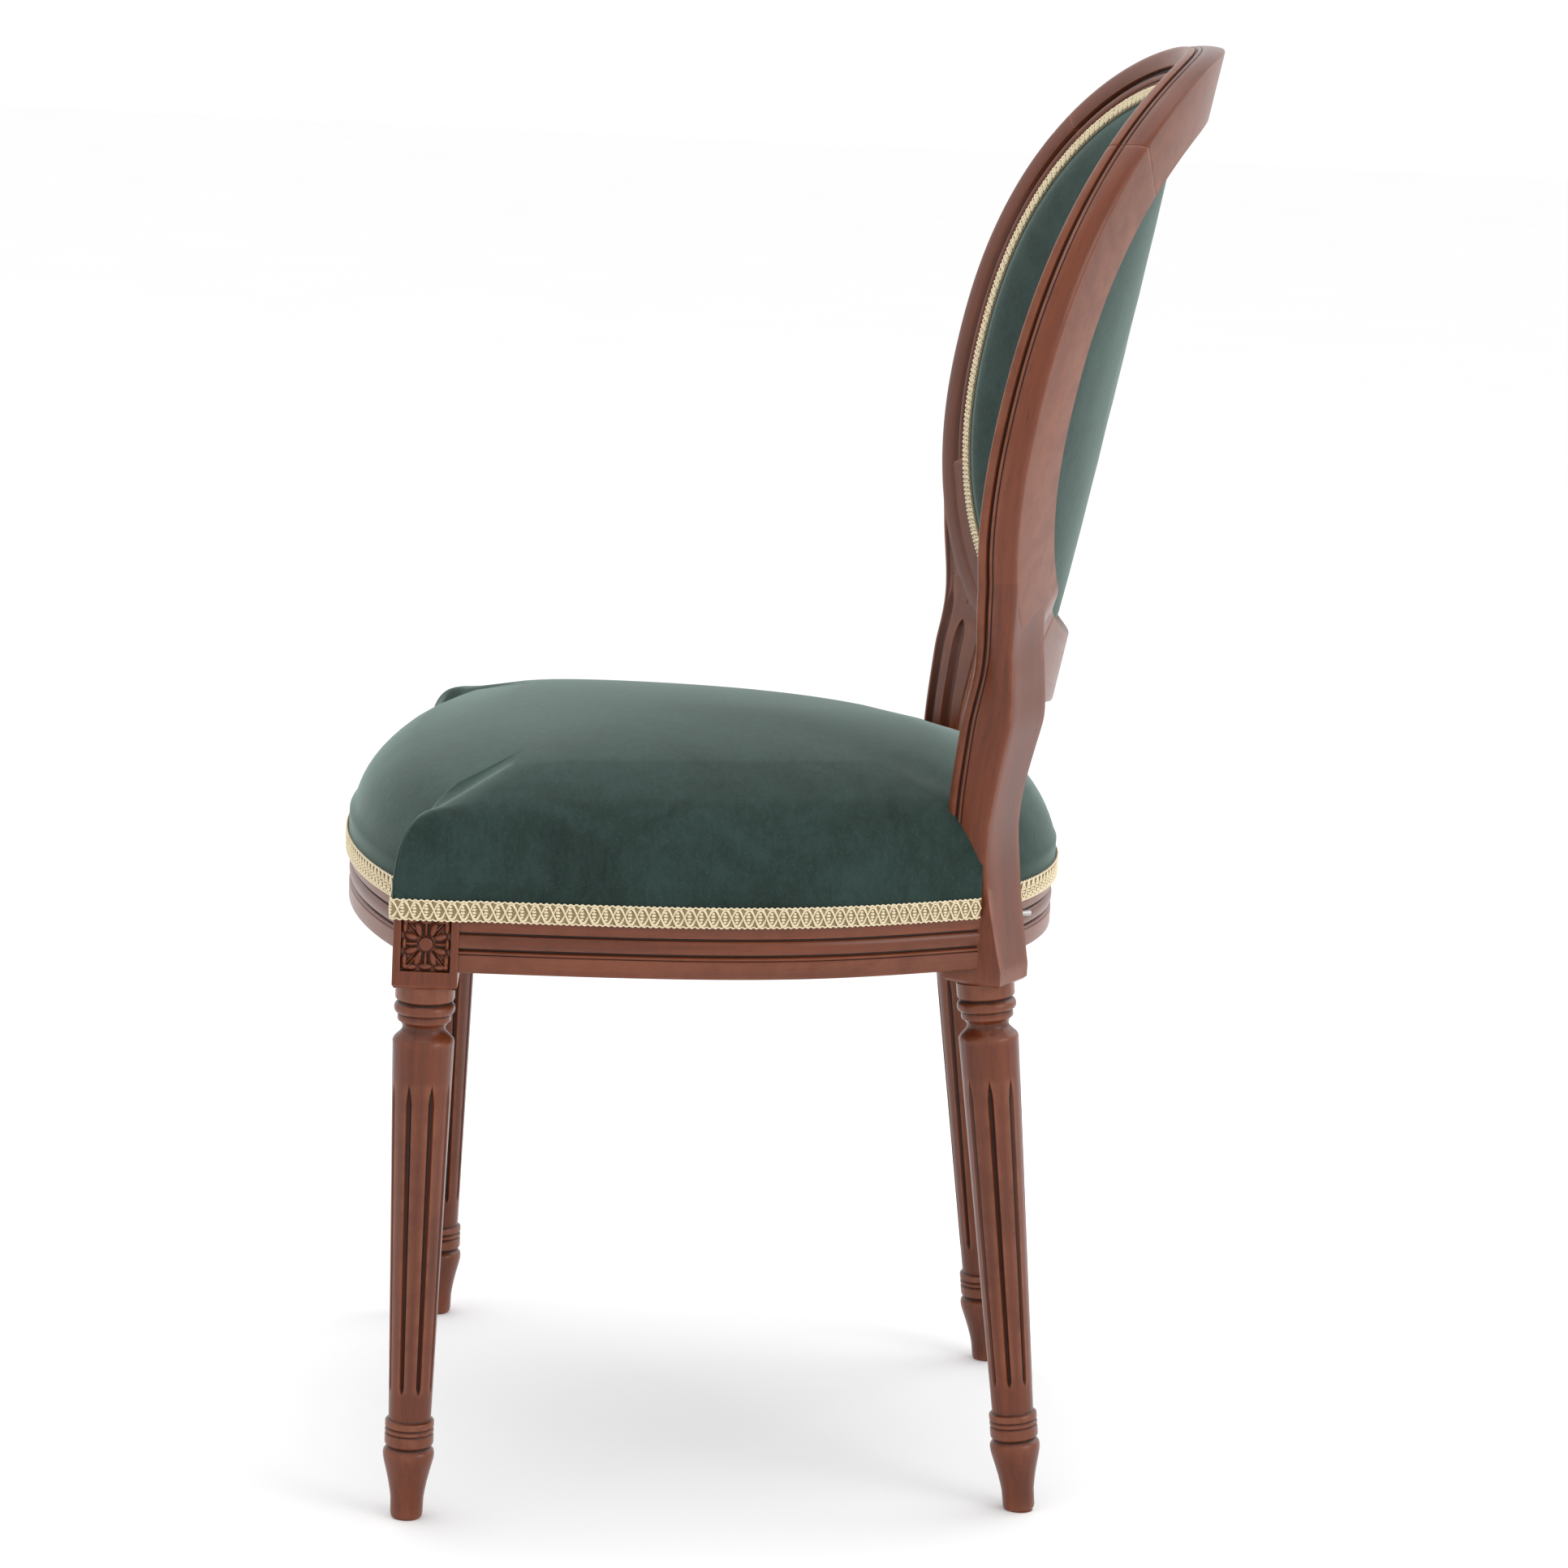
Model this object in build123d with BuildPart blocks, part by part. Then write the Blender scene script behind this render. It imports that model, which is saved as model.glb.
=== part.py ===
from build123d import *
from math import atan2, cos, degrees, hypot, pi, radians, sin, sqrt
import os

os.makedirs("parts", exist_ok=True)

# Oval-back dining chair with turned, fluted legs. Millimetres, +Z up, the sitter faces -Y.
# "Left" is the sitter's left, +X. The origin is the middle of the footprint, on the floor.

# ---- driving dimensions: legs and seat frame ----
front_leg_x = 233.5
front_leg_y = -223.0
rear_leg_x = 157.5
rear_leg_y = 151.0
rear_foot_out = 12.5
rear_foot_back = 43.5
leg_height = 369.0
block = 43.0
block_edge = 2.0
rear_turn = 30.0
rail_rise = 11.0
rail_height = 50.0
rail_thickness = 30.0
rear_rail_thickness = 19.0
rail_setback = 2.5
front_bow = 64.0
front_bow_end = 12.0
rear_bow = 54.5
side_belly = (0.05, 0.33)  # a side curve's two middle points, as shares of its run in X and Y
side_hip = (0.34, 0.70)
side_entry = 4.0  # where a side rail's outer face meets the rear leg, behind the leg's centre
rear_entry = 1.5  # where the rear rail's outer face meets it, ahead of the centre
opening_entry = 15.0  # where the opening's side curve ends, ahead of the centre

# turned leg, radii and drops measured from the block, rises measured from the floor
collar_radius = 19.7
collar_drop = 11.0
bead_radius = 20.1
bead_drop = 20.0
neck_radius = 14.2
neck_drop = 30.0
shaft_radius = 20.4
shaft_drop = 40.0
ankle_radius = 14.2
ankle_rise = 68.5
ring_radius = 16.4
ring_rise = 52.0
bulb_radius = 17.2
bulb_rise = 45.0
foot_radius = 10.9
foot_rise = 14.5
flute_count = 8
flute_radius = 2.1
flute_top_gap = 24.0
flute_foot_gap = 22.0

# carved panel on the front blocks
panel_width = 33.0
panel_height = 38.0
panel_depth = 1.5
boss_radius = 4.5

# ---- driving dimensions: back ----
oval_half_width = 227.5
oval_half_height = 226.5
oval_power = 2.2
oval_rise = 335.0
oval_behind_leg = 69.7
back_rake = 0.183
sag_nose = 84.0
sag_slope = 0.662
frame_width = 47.0
frame_depth = 27.5
lower_rail_depth = 19.0
rebate_inset = 23.0
rebate_depth = 7.0
crest_joint_angle = 46.0
lower_joint_x = 112.0
post_entry_angle = -39.0

# rear post between the seat and the oval:
# (fraction of the rise, inward sway, forward sway, width, depth)
post_stations = [
    (0.00, 0.0, 0.0, 43.0, 43.0),
    (0.17, 4.6, 8.2, 50.0, 34.0),
    (0.27, 6.3, 12.0, 52.0, 31.5),
    (0.43, 4.8, 12.4, 47.0, 33.0),
    (0.59, 6.9, 8.5, 49.0, 33.0),
    (0.73, 8.0, 3.9, 51.0, 32.0),
    (0.87, 5.4, 0.8, 48.0, 29.0),
    (1.00, 0.0, 0.0, 40.0, 25.0),
]

# ---- driving dimensions: upholstery ----
webbing_width = 55.0
webbing_thickness = 1.2
webbing_lap = 12.0
webbing_count_x = 4
webbing_count_y = 4
webbing_spacing = (84.0, 82.0)
back_webbing_spacing = 110.0
hessian_thickness = 0.8
seat_crown = 89.0
seat_dome_radius = 1000.0
seat_dome_y = -60.0
seat_edge_radius = 42.0
cover_thickness = 1.5
cover_skirt = 13.0
gimp_width = 14.0
gimp_thickness = 2.0
back_pad_proud = 7.0
back_hessian_thickness = 1.0
back_gimp_width = 10.0
dust_cover_thickness = 0.6
dust_cover_lap = 18.0

# ---- driving dimensions: joinery ----
dowel_radius = 4.0
dowel_reach = 17.0
dowel_spacing = 22.0
dowel_stagger = 4.0
side_dowel_place = (16.5, -17.0)  # out and back from the rear leg's centre
side_dowel_run = (-0.35, 0.94, 0)
rear_dowel_back = -11.0
oval_dowel_step = 8.0
brace_height = 28.0
brace_leg = 82.0
screw_radius = 2.2
screw_head_radius = 4.2
screw_head_height = 2.6
screw_length = 34.0
screw_offset = 52.0

# ---- derived places ----
rail_bottom = leg_height + rail_rise
rail_top = rail_bottom + rail_height
oval_z = rail_top + oval_rise
back_y = rear_leg_y + oval_behind_leg
turn = radians(rear_turn)
outward = Vector(cos(turn), -sin(turn), 0)
backward = Vector(sin(turn), cos(turn), 0)
sides = {"left": 1, "right": -1}
bar_start = -400.0  # the long bars that trim the back run between these two Y values
bar_end = 700.0


def rear_point(out, back, z=0.0):
    """A point beside the left rear leg's centre, in the leg's own turned directions."""
    return Vector(rear_leg_x, rear_leg_y, z) + outward * out + backward * back


def flat(point):
    """The plan position of a point."""
    return (point.X, point.Y)


def back_sag(x):
    """How far the curved back comes forward at this distance from the middle."""
    return sqrt(sag_nose**2 + (sag_slope * x) ** 2) - sag_nose


def back_front(x, z):
    """The Y of the frame's front surface."""
    return back_y + back_rake * (z - oval_z) - back_sag(x)


def oval_point(angle, inset):
    """A point of the oval, in front view, at this inset from the outline."""
    c, s = cos(angle), sin(angle)
    power = 2 / oval_power
    x = (oval_half_width - inset) * abs(c) ** power * (1 if c >= 0 else -1)
    z = oval_z + (oval_half_height - inset) * abs(s) ** power * (1 if s >= 0 else -1)
    return (x, z)


def save(part, name):
    part.label = name
    export_step(part, f"parts/{name}.step")


# ---------------------------------------------------------------- turned legs
def turned_leg(length):
    """A fluted leg that hangs down from Z 0, with its axis on Z."""
    shaft_top = -shaft_drop
    shaft_foot = ankle_rise - length
    with BuildPart() as leg:
        with BuildSketch(Plane.XZ):
            with BuildLine():
                Polyline(
                    (0, 0),
                    (collar_radius, 0),
                    (collar_radius, -collar_drop),
                    (collar_radius - 1.6, -collar_drop - 1.5),
                    (bead_radius - 1, -collar_drop - 3),
                )
                ThreePointArc(
                    (bead_radius - 1, -collar_drop - 3),
                    (bead_radius + 0.6, (-collar_drop - 3 - bead_drop) / 2),
                    (bead_radius - 1, -bead_drop),
                )
                Line((bead_radius - 1, -bead_drop), (bead_radius - 2.4, -bead_drop - 1.5))
                Spline(
                    (bead_radius - 2.4, -bead_drop - 1.5),
                    (neck_radius, -neck_drop),
                    (shaft_radius, shaft_top),
                    tangents=[(-0.2, -1), (0.5, -1)],
                )
                Polyline(
                    (shaft_radius, shaft_top),
                    (shaft_radius, shaft_top - 3),
                    (ankle_radius, shaft_foot),
                    (ring_radius, shaft_foot),
                    (ring_radius, ring_rise - length),
                    (ring_radius - 2, ring_rise - 2 - length),
                )
                Spline(
                    (ring_radius - 2, ring_rise - 2 - length),
                    (bulb_radius, bulb_rise - length),
                    (foot_radius + 0.3, foot_rise - length),
                    tangents=[(1, -0.6), (-0.1, -1)],
                )
                Polyline(
                    (foot_radius + 0.3, foot_rise - length),
                    (foot_radius, -length),
                    (0, -length),
                    (0, 0),
                )
            make_face()
        revolve(axis=Axis.Z)
        top = shaft_top - flute_top_gap
        bottom = shaft_foot + flute_foot_gap
        taper = (shaft_radius - ankle_radius) / (shaft_top - 3 - shaft_foot)
        middle = (top + bottom) / 2
        middle_radius = ankle_radius + (middle - shaft_foot) * taper
        tilt = degrees(atan2(taper, 1))
        with PolarLocations(middle_radius, flute_count, start_angle=180 / flute_count):
            with Locations(Location((0, 0, middle), (0, tilt, 0))):
                Cylinder(flute_radius, top - bottom, mode=Mode.SUBTRACT)
                with Locations((0, 0, (top - bottom) / 2), (0, 0, (bottom - top) / 2)):
                    Sphere(flute_radius, mode=Mode.SUBTRACT)
    return leg.part


def front_leg():
    """The left front leg: a square block with two carved panels, on a turned leg."""
    panel_z = (rail_bottom + rail_top) / 2 - (rail_top - rail_bottom - panel_height) / 2
    faces = (
        Plane((front_leg_x + block / 2, front_leg_y, panel_z), x_dir=(0, 1, 0), z_dir=(1, 0, 0)),
        Plane((front_leg_x, front_leg_y - block / 2, panel_z), x_dir=(1, 0, 0), z_dir=(0, -1, 0)),
    )
    with BuildPart() as leg:
        with BuildSketch(Plane((front_leg_x, front_leg_y, leg_height))):
            Rectangle(block, block)
        extrude(amount=rail_top - leg_height)
        chamfer(leg.faces().sort_by(Axis.Z)[0].edges(), block_edge)
        for face in faces:
            with BuildSketch(face):
                Rectangle(panel_width, panel_height)
                Circle(boss_radius, mode=Mode.SUBTRACT)
            extrude(amount=-panel_depth, mode=Mode.SUBTRACT)
        add(turned_leg(leg_height).moved(Location((front_leg_x, front_leg_y, leg_height))))
    return leg.part


# ---------------------------------------------------------------- back frame
def back_slab(near, far):
    """The space between two copies of the curved back surface, this far behind its front."""
    low = rail_top
    high = oval_z + oval_half_height + frame_width
    reach = oval_half_width + frame_width
    xs = [reach * k / 8 for k in range(-8, 9)]
    front = [(x, back_front(x, low) + near) for x in xs]
    rear = [(x, y + far - near) for x, y in reversed(front)]
    with BuildPart() as slab:
        with BuildSketch(Plane.XY.offset(low)):
            with BuildLine():
                Spline(*front)
                Line(front[-1], rear[0])
                Spline(*rear)
                Line(rear[-1], front[0])
            make_face()
        extrude(amount=(high - low) * hypot(1, back_rake), dir=(0, back_rake, 1))
    return slab.part


def oval_prism(inset):
    """The oval at this inset from the outline, as a long bar along Y."""
    steps = 28
    points = [oval_point(2 * pi * k / steps, inset) for k in range(steps)]
    with BuildPart() as prism:
        with BuildSketch(Plane.XZ.offset(-bar_end)):
            with BuildLine():
                Spline(*points, periodic=True)
            make_face()
        extrude(amount=bar_end - bar_start)
    return prism.part


def front_view_prism(corners):
    """A polygon in front view, as a long bar along Y."""
    with BuildPart() as prism:
        with BuildSketch(Plane.XZ.offset(-bar_end)):
            with BuildLine():
                Polyline(*corners, close=True)
            make_face()
        extrude(amount=bar_end - bar_start)
    return prism.part


with BuildPart() as back_ring:
    add(back_slab(0, frame_depth))
    add(oval_prism(0), mode=Mode.INTERSECT)
    add(oval_prism(frame_width), mode=Mode.SUBTRACT)

with BuildPart() as rebate:
    add(back_slab(-frame_depth, rebate_depth))
    add(oval_prism(rebate_inset), mode=Mode.INTERSECT)

joint_reach = 2 * oval_half_height
joint_x = joint_reach * cos(radians(crest_joint_angle))
joint_z = oval_z + joint_reach * sin(radians(crest_joint_angle))
crest_wedge = front_view_prism([(0, oval_z), (joint_x, joint_z), (-joint_x, joint_z)])
lower_slot = front_view_prism(
    [
        (-lower_joint_x, oval_z),
        (lower_joint_x, oval_z),
        (lower_joint_x, rail_top),
        (-lower_joint_x, rail_top),
    ]
)

with BuildPart() as crest_rail:
    add(back_ring.part)
    add(crest_wedge, mode=Mode.INTERSECT)
    add(rebate.part, mode=Mode.SUBTRACT)

with BuildPart() as lower_back_rail:
    add(back_ring.part)
    add(lower_slot, mode=Mode.INTERSECT)
    add(back_slab(-frame_depth, lower_rail_depth), mode=Mode.INTERSECT)
    add(rebate.part, mode=Mode.SUBTRACT)


def post_plane(out, back, z):
    """The level plane of one post section, turned with the rear leg."""
    return Plane(origin=rear_point(out, back, z), x_dir=outward, z_dir=(0, 0, 1))


def raked_leg():
    """The turned part of the left rear leg, leaning out and back, cut level at the floor."""
    foot = Vector(rear_leg_x + rear_foot_out, rear_leg_y + rear_foot_back, 0)
    hip = Vector(rear_leg_x, rear_leg_y, leg_height)
    rake = hip - foot
    spare = 3 * foot_radius * rear_foot_back / leg_height
    leg_plane = Plane(origin=hip, x_dir=outward, z_dir=rake)
    with BuildPart() as raked:
        add(turned_leg(rake.length + spare).moved(leg_plane.location))
        split(bisect_by=Plane.XY, keep=Keep.TOP)
        split(bisect_by=Plane.XY.offset(leg_height + block_edge), keep=Keep.BOTTOM)
    return raked.part


def stile():
    """The left arc of the oval, between the crest rail and the lower rail."""
    with BuildPart() as arc:
        add(back_ring.part)
        add(crest_wedge, mode=Mode.SUBTRACT)
        add(lower_slot, mode=Mode.SUBTRACT)
        split(bisect_by=Plane.YZ, keep=Keep.TOP)
    return arc.part


def rear_leg():
    """The left rear leg, one piece from the floor to the crest joint."""
    entry_x, entry_z = oval_point(radians(post_entry_angle), frame_width / 2)
    entry_y = back_front(entry_x, entry_z) + frame_depth / 2
    offset = Vector(entry_x - rear_leg_x, entry_y - rear_leg_y, 0)
    entry_out = offset.dot(outward)
    entry_back = offset.dot(backward)
    rise = entry_z - rail_bottom
    with BuildPart() as leg:
        with BuildSketch(post_plane(0, 0, leg_height)):
            Rectangle(block, block)
        extrude(amount=rail_rise)
        chamfer(leg.faces().sort_by(Axis.Z)[0].edges(), block_edge)
        for fraction, inward, forward, width, depth in post_stations:
            out = entry_out * fraction - inward
            back = entry_back * fraction - forward
            with BuildSketch(post_plane(out, back, rail_bottom + rise * fraction)):
                Rectangle(width, depth)
        loft()
        add(raked_leg())
        add(stile())
        add(rebate.part, mode=Mode.SUBTRACT)
        add(lower_back_rail.part, mode=Mode.SUBTRACT)
    return leg.part


# ---------------------------------------------------------------- seat outline
def seat_outline(inset, rear_inset, side_end):
    """Draws the closed seat plan; side_end is where the side curve enters the left rear post."""
    bow_end = (front_leg_x - block / 2, front_leg_y - front_bow_end + inset)
    side_start = (front_leg_x + block / 2 - rail_setback - inset, front_leg_y)
    run_x, run_y = side_end[0] - side_start[0], side_end[1] - side_start[1]
    belly = (side_start[0] + side_belly[0] * run_x, side_start[1] + side_belly[1] * run_y)
    hip = (side_start[0] + side_hip[0] * run_x, side_start[1] + side_hip[1] * run_y)
    rear_start = flat(rear_point(-block / 2, -rear_entry - rear_inset))
    ThreePointArc(
        bow_end, (0, front_leg_y - front_bow + inset), (-bow_end[0], bow_end[1])
    )
    for side in sides.values():
        points = [(side * x, y) for x, y in (side_start, belly, hip, side_end)]
        Line((side * bow_end[0], bow_end[1]), points[0])
        Spline(*points)
        Line(points[-1], (side * rear_start[0], rear_start[1]))
    ThreePointArc(
        rear_start, (0, rear_leg_y + rear_bow - rear_inset), (-rear_start[0], rear_start[1])
    )


def plan_bar(outset, low, high):
    """The seat plan this far outside the rail faces, between two heights."""
    with BuildPart() as bar:
        with BuildSketch(Plane.XY.offset(low)):
            with BuildLine():
                seat_outline(-outset, -outset, flat(rear_point(block / 2 + outset, side_entry)))
            make_face()
        extrude(amount=high - low)
    return bar.part


def opening_bar(low, high, gap=0.0):
    """The opening inside the rails, made smaller by a gap, between two heights."""
    with BuildPart() as bar:
        with BuildSketch(Plane.XY.offset(low)):
            with BuildLine():
                seat_outline(
                    rail_thickness + gap,
                    rear_rail_thickness + gap,
                    flat(rear_point(-gap, -opening_entry - gap)),
                )
            make_face()
        extrude(amount=high - low)
    return bar.part


def block_bars(grow, low, high):
    """The two front blocks' plan, grown on all sides, between two heights."""
    with BuildPart() as bars:
        with BuildSketch(Plane.XY.offset(low)):
            with Locations((front_leg_x, front_leg_y), (-front_leg_x, front_leg_y)):
                Rectangle(block + 2 * grow, block + 2 * grow)
        extrude(amount=high - low)
    return bars.part


# ---------------------------------------------------------------- joinery
def rod(start, end, radius):
    """A plain round bar between two points."""
    with BuildPart() as bar:
        with BuildSketch(Plane(origin=start, z_dir=Vector(*end) - Vector(*start))):
            Circle(radius)
        extrude(amount=(Vector(*end) - Vector(*start)).length)
    return bar.part


def both_sides(parts):
    """These left-hand pieces and their right-hand twins, as one group."""
    return Compound(children=[*parts, *(mirror(part, about=Plane.YZ) for part in parts)])


def dowel(centre, direction):
    run = Vector(*direction).normalized() * dowel_reach
    return rod(Vector(*centre) - run, Vector(*centre) + run, dowel_radius)


def seat_dowels():
    """Two dowels in each joint of the left half of the seat frame."""
    middle = (rail_bottom + rail_top) / 2
    inner_x = front_leg_x - block / 2
    rear_y = front_leg_y + block / 2
    bow_y = front_leg_y - front_bow_end + rail_thickness / 2
    side_x = front_leg_x + block / 2 - rail_setback - rail_thickness / 2
    corner = rear_point(*side_dowel_place)
    inner = rear_point(-block / 2, rear_dowel_back)
    dowels = []
    for z in (middle - dowel_spacing / 2, middle + dowel_spacing / 2):
        dowels.append(dowel((inner_x, bow_y, z), (1, 0, 0)))
        dowels.append(dowel((side_x, rear_y, z - dowel_stagger), (0, 1, 0)))
        dowels.append(dowel((corner.X, corner.Y, z - dowel_stagger), side_dowel_run))
        dowels.append(dowel((inner.X, inner.Y, z), outward))
    return dowels


def back_dowels():
    """Two dowels in each joint of the left half of the oval."""
    dowels = []
    middle_inset = frame_width / 2
    crest_x, crest_z = oval_point(radians(crest_joint_angle), middle_inset)
    ratio = (lower_joint_x / (oval_half_width - middle_inset)) ** oval_power
    lower_z = oval_z - (oval_half_height - middle_inset) * (1 - ratio) ** (1 / oval_power)
    lower_slope = (lower_joint_x / (oval_z - lower_z)) ** (oval_power - 1)
    places = (
        (crest_x, crest_z, -crest_z + oval_z, crest_x, frame_depth),
        (lower_joint_x, lower_z, 1.0, lower_slope, lower_rail_depth),
    )
    for x, z, run_x, run_z, rear_depth in places:
        depth = (rebate_depth + rear_depth) / 2
        length = hypot(run_x, run_z)
        across_x, across_z = run_z / length, -run_x / length
        for step in (-oval_dowel_step, oval_dowel_step):
            at_x, at_z = x + across_x * step, z + across_z * step
            y = back_front(at_x, at_z) + depth
            ahead = back_front(at_x + run_x / length, at_z + run_z / length)
            fall = ahead - back_front(at_x, at_z)
            dowels.append(dowel((at_x, y, at_z), (run_x / length, fall, run_z / length)))
    return dowels


def screw(tip, heel):
    """A countersunk-style wood screw: plain shank and round head."""
    run = (Vector(*tip) - Vector(*heel)).normalized()
    shank = rod(heel, Vector(*heel) + run * screw_length, screw_radius)
    head = rod(heel, Vector(*heel) - run * screw_head_height, screw_head_radius)
    return shank.fuse(head)


front_corner = (
    front_leg_x + block / 2 - rail_setback - rail_thickness,
    front_leg_y - front_bow_end + rail_thickness,
)
brace_low = (rail_bottom + rail_top - brace_height) / 2


def brace_blank(corners):
    with BuildPart() as blank:
        with BuildSketch(Plane.XY.offset(brace_low)):
            with BuildLine():
                Polyline(*corners, close=True)
            make_face()
        extrude(amount=brace_height)
    return blank.part


front_brace_corners = [
    (front_corner[0] + 10, front_corner[1] - 20),
    (front_corner[0] + 10, front_corner[1] + brace_leg),
    (front_corner[0] - brace_leg, front_corner[1] - 20),
]
rear_brace_corners = [
    flat(rear_point(-0.85 * brace_leg, -8)),
    flat(rear_point(0, 0)),
    flat(rear_point(14, -0.9 * brace_leg)),
]


def brace_screws():
    """Two screws through each left-hand corner block, into the rails beside it."""
    z = (rail_bottom + rail_top) / 2
    x, y = front_corner
    pairs = [
        ((x - screw_offset, y - 20), (x - screw_offset + 6, y + 14)),
        ((x + 20, y + screw_offset), (x - 14, y + screw_offset - 6)),
    ]
    for out, back, along in ((-42, -14, (-1, 3)), (6, -44, (3, 0.4))):
        heel = rear_point(out, back) - Vector(*along) * 3
        pairs.append((flat(heel + Vector(*along)), flat(heel)))
    return [screw((*tip, z), (*heel, z)) for tip, heel in pairs]


# ---------------------------------------------------------------- seat frame
front_leg_left = front_leg()
rear_leg_left = rear_leg()
posts = both_sides([front_leg_left, rear_leg_left])
seat_dowel_set = seat_dowels()
back_dowel_set = back_dowels()
screw_set = brace_screws()
all_dowels = both_sides(seat_dowel_set + back_dowel_set)

with BuildPart() as rail_ring:
    add(plan_bar(0, rail_bottom, rail_top))
    add(opening_bar(rail_bottom, rail_top), mode=Mode.SUBTRACT)
    add(posts.solids(), mode=Mode.SUBTRACT)
    add(all_dowels.solids(), mode=Mode.SUBTRACT)
    add(both_sides(screw_set).solids(), mode=Mode.SUBTRACT)
rail_solids = rail_ring.part.solids().sort_by(Axis.Y)
front_rail = rail_solids[0]
rear_rail = rail_solids[-1]
side_rail_left = rail_solids[1:-1].sort_by(Axis.X)[-1]


def drilled(part, cutters):
    """This piece with the holes that its dowels and screws need."""
    with BuildPart() as piece:
        add(part)
        add(cutters, mode=Mode.SUBTRACT)
    return piece.part


def corner_block(corners):
    """A glue block that fills a corner of the seat frame up to the rails and the leg."""
    with BuildPart() as brace:
        add(brace_blank(corners))
        add(plan_bar(0, brace_low, brace_low + brace_height), mode=Mode.INTERSECT)
        add(rail_ring.part, mode=Mode.SUBTRACT)
        add(front_leg_left, mode=Mode.SUBTRACT)
        add(rear_leg_left, mode=Mode.SUBTRACT)
        add(seat_dowel_set, mode=Mode.SUBTRACT)
        add(screw_set, mode=Mode.SUBTRACT)
    return brace.part.solids().sort_by(SortBy.VOLUME)[-1]


save(drilled(front_leg_left, seat_dowel_set), "front_leg_left")
save(mirror(drilled(front_leg_left, seat_dowel_set), about=Plane.YZ), "front_leg_right")
rear_drilled = drilled(rear_leg_left, seat_dowel_set + back_dowel_set)
save(rear_drilled, "rear_leg_left")
save(mirror(rear_drilled, about=Plane.YZ), "rear_leg_right")
save(drilled(crest_rail.part, all_dowels.solids()), "crest_rail")
save(drilled(lower_back_rail.part, all_dowels.solids()), "lower_back_rail")
save(front_rail, "front_rail")
save(rear_rail, "rear_rail")
save(side_rail_left, "side_rail_left")
save(mirror(side_rail_left, about=Plane.YZ), "side_rail_right")
for place, corners in (("front", front_brace_corners), ("rear", rear_brace_corners)):
    brace = corner_block(corners)
    save(brace, f"corner_block_{place}_left")
    save(mirror(brace, about=Plane.YZ), f"corner_block_{place}_right")
save(both_sides(screw_set), "corner_block_screws")
save(both_sides(seat_dowel_set), "seat_rail_dowels")
save(both_sides(back_dowel_set), "back_frame_dowels")

# ---------------------------------------------------------------- seat upholstery
webbing_bed = rail_top
webbing_over = webbing_bed + webbing_thickness
hessian_low = webbing_over + webbing_thickness
foam_low = hessian_low + hessian_thickness


def webbing(along_y, low):
    """Evenly spaced strips across the seat opening, lapped onto the rails."""
    long_side = 4 * front_leg_x
    spacing_x, spacing_y = webbing_spacing
    with BuildPart() as strips:
        with BuildSketch(Plane.XY.offset(low)):
            with Locations((0, (front_leg_y + rear_leg_y) / 2)):
                if along_y:
                    with GridLocations(spacing_x, 1, webbing_count_x, 1):
                        Rectangle(webbing_width, long_side)
                else:
                    with GridLocations(1, spacing_y, 1, webbing_count_y):
                        Rectangle(long_side, webbing_width)
        extrude(amount=webbing_thickness)
        add(opening_bar(low, low + webbing_thickness, -webbing_lap), mode=Mode.INTERSECT)
        add(posts.solids(), mode=Mode.SUBTRACT)
    return strips.part


def seat_body(grow, low, crown_drop=0.0):
    """The domed cushion over the rails and the front blocks, this far outside them."""
    top = foam_low + seat_crown - crown_drop
    half_width = front_leg_x + block / 2 + grow
    front = front_leg_y - front_bow - grow
    rear = rear_leg_y + rear_bow + grow
    with BuildPart() as envelope:
        with BuildSketch(Plane.XY.offset(low)):
            with Locations((0, (front + rear) / 2)):
                Rectangle(2 * half_width, rear - front)
        extrude(amount=top - low)
        fillet(envelope.faces().sort_by(Axis.Z)[-1].edges(), seat_edge_radius + grow)
        with Locations((0, seat_dome_y, top - seat_dome_radius)):
            Sphere(seat_dome_radius, rotation=(90, 0, 0), mode=Mode.INTERSECT)
    with BuildPart() as body:
        add(plan_bar(grow, low, top))
        add(block_bars(grow, low, top))
        add(envelope.part, mode=Mode.INTERSECT)
    return body.part


def wrapped_band(inner, outer, low, high):
    """A band around the rails and front blocks, between two distances outside them."""
    with BuildPart() as band:
        add(plan_bar(outer, low, high))
        add(block_bars(outer, low, high))
        add(plan_bar(inner, low, high), mode=Mode.SUBTRACT)
        add(block_bars(inner, low, high), mode=Mode.SUBTRACT)
        add(posts.solids(), mode=Mode.SUBTRACT)
    return band.part.solids()


with BuildPart() as seat_hessian:
    add(opening_bar(hessian_low, foam_low, -webbing_lap))
    add(posts.solids(), mode=Mode.SUBTRACT)

with BuildPart() as seat_foam:
    add(seat_body(0, foam_low, cover_thickness))
    add(posts.solids(), mode=Mode.SUBTRACT)

with BuildPart() as seat_cover:
    add(seat_body(cover_thickness, rail_top - cover_skirt))
    add(plan_bar(0, rail_top - cover_skirt, foam_low), mode=Mode.SUBTRACT)
    add(block_bars(0, rail_top - cover_skirt, foam_low), mode=Mode.SUBTRACT)
    add(seat_foam.part, mode=Mode.SUBTRACT)
    add(posts.solids(), mode=Mode.SUBTRACT)

gimp_high = rail_top - 0.5
gimp_runs = wrapped_band(
    cover_thickness, cover_thickness + gimp_thickness, gimp_high - gimp_width, gimp_high
).sort_by(SortBy.VOLUME)

with BuildPart() as dust_cover:
    add(opening_bar(rail_bottom - dust_cover_thickness, rail_bottom, -dust_cover_lap))
    add(posts.solids(), mode=Mode.SUBTRACT)

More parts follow.
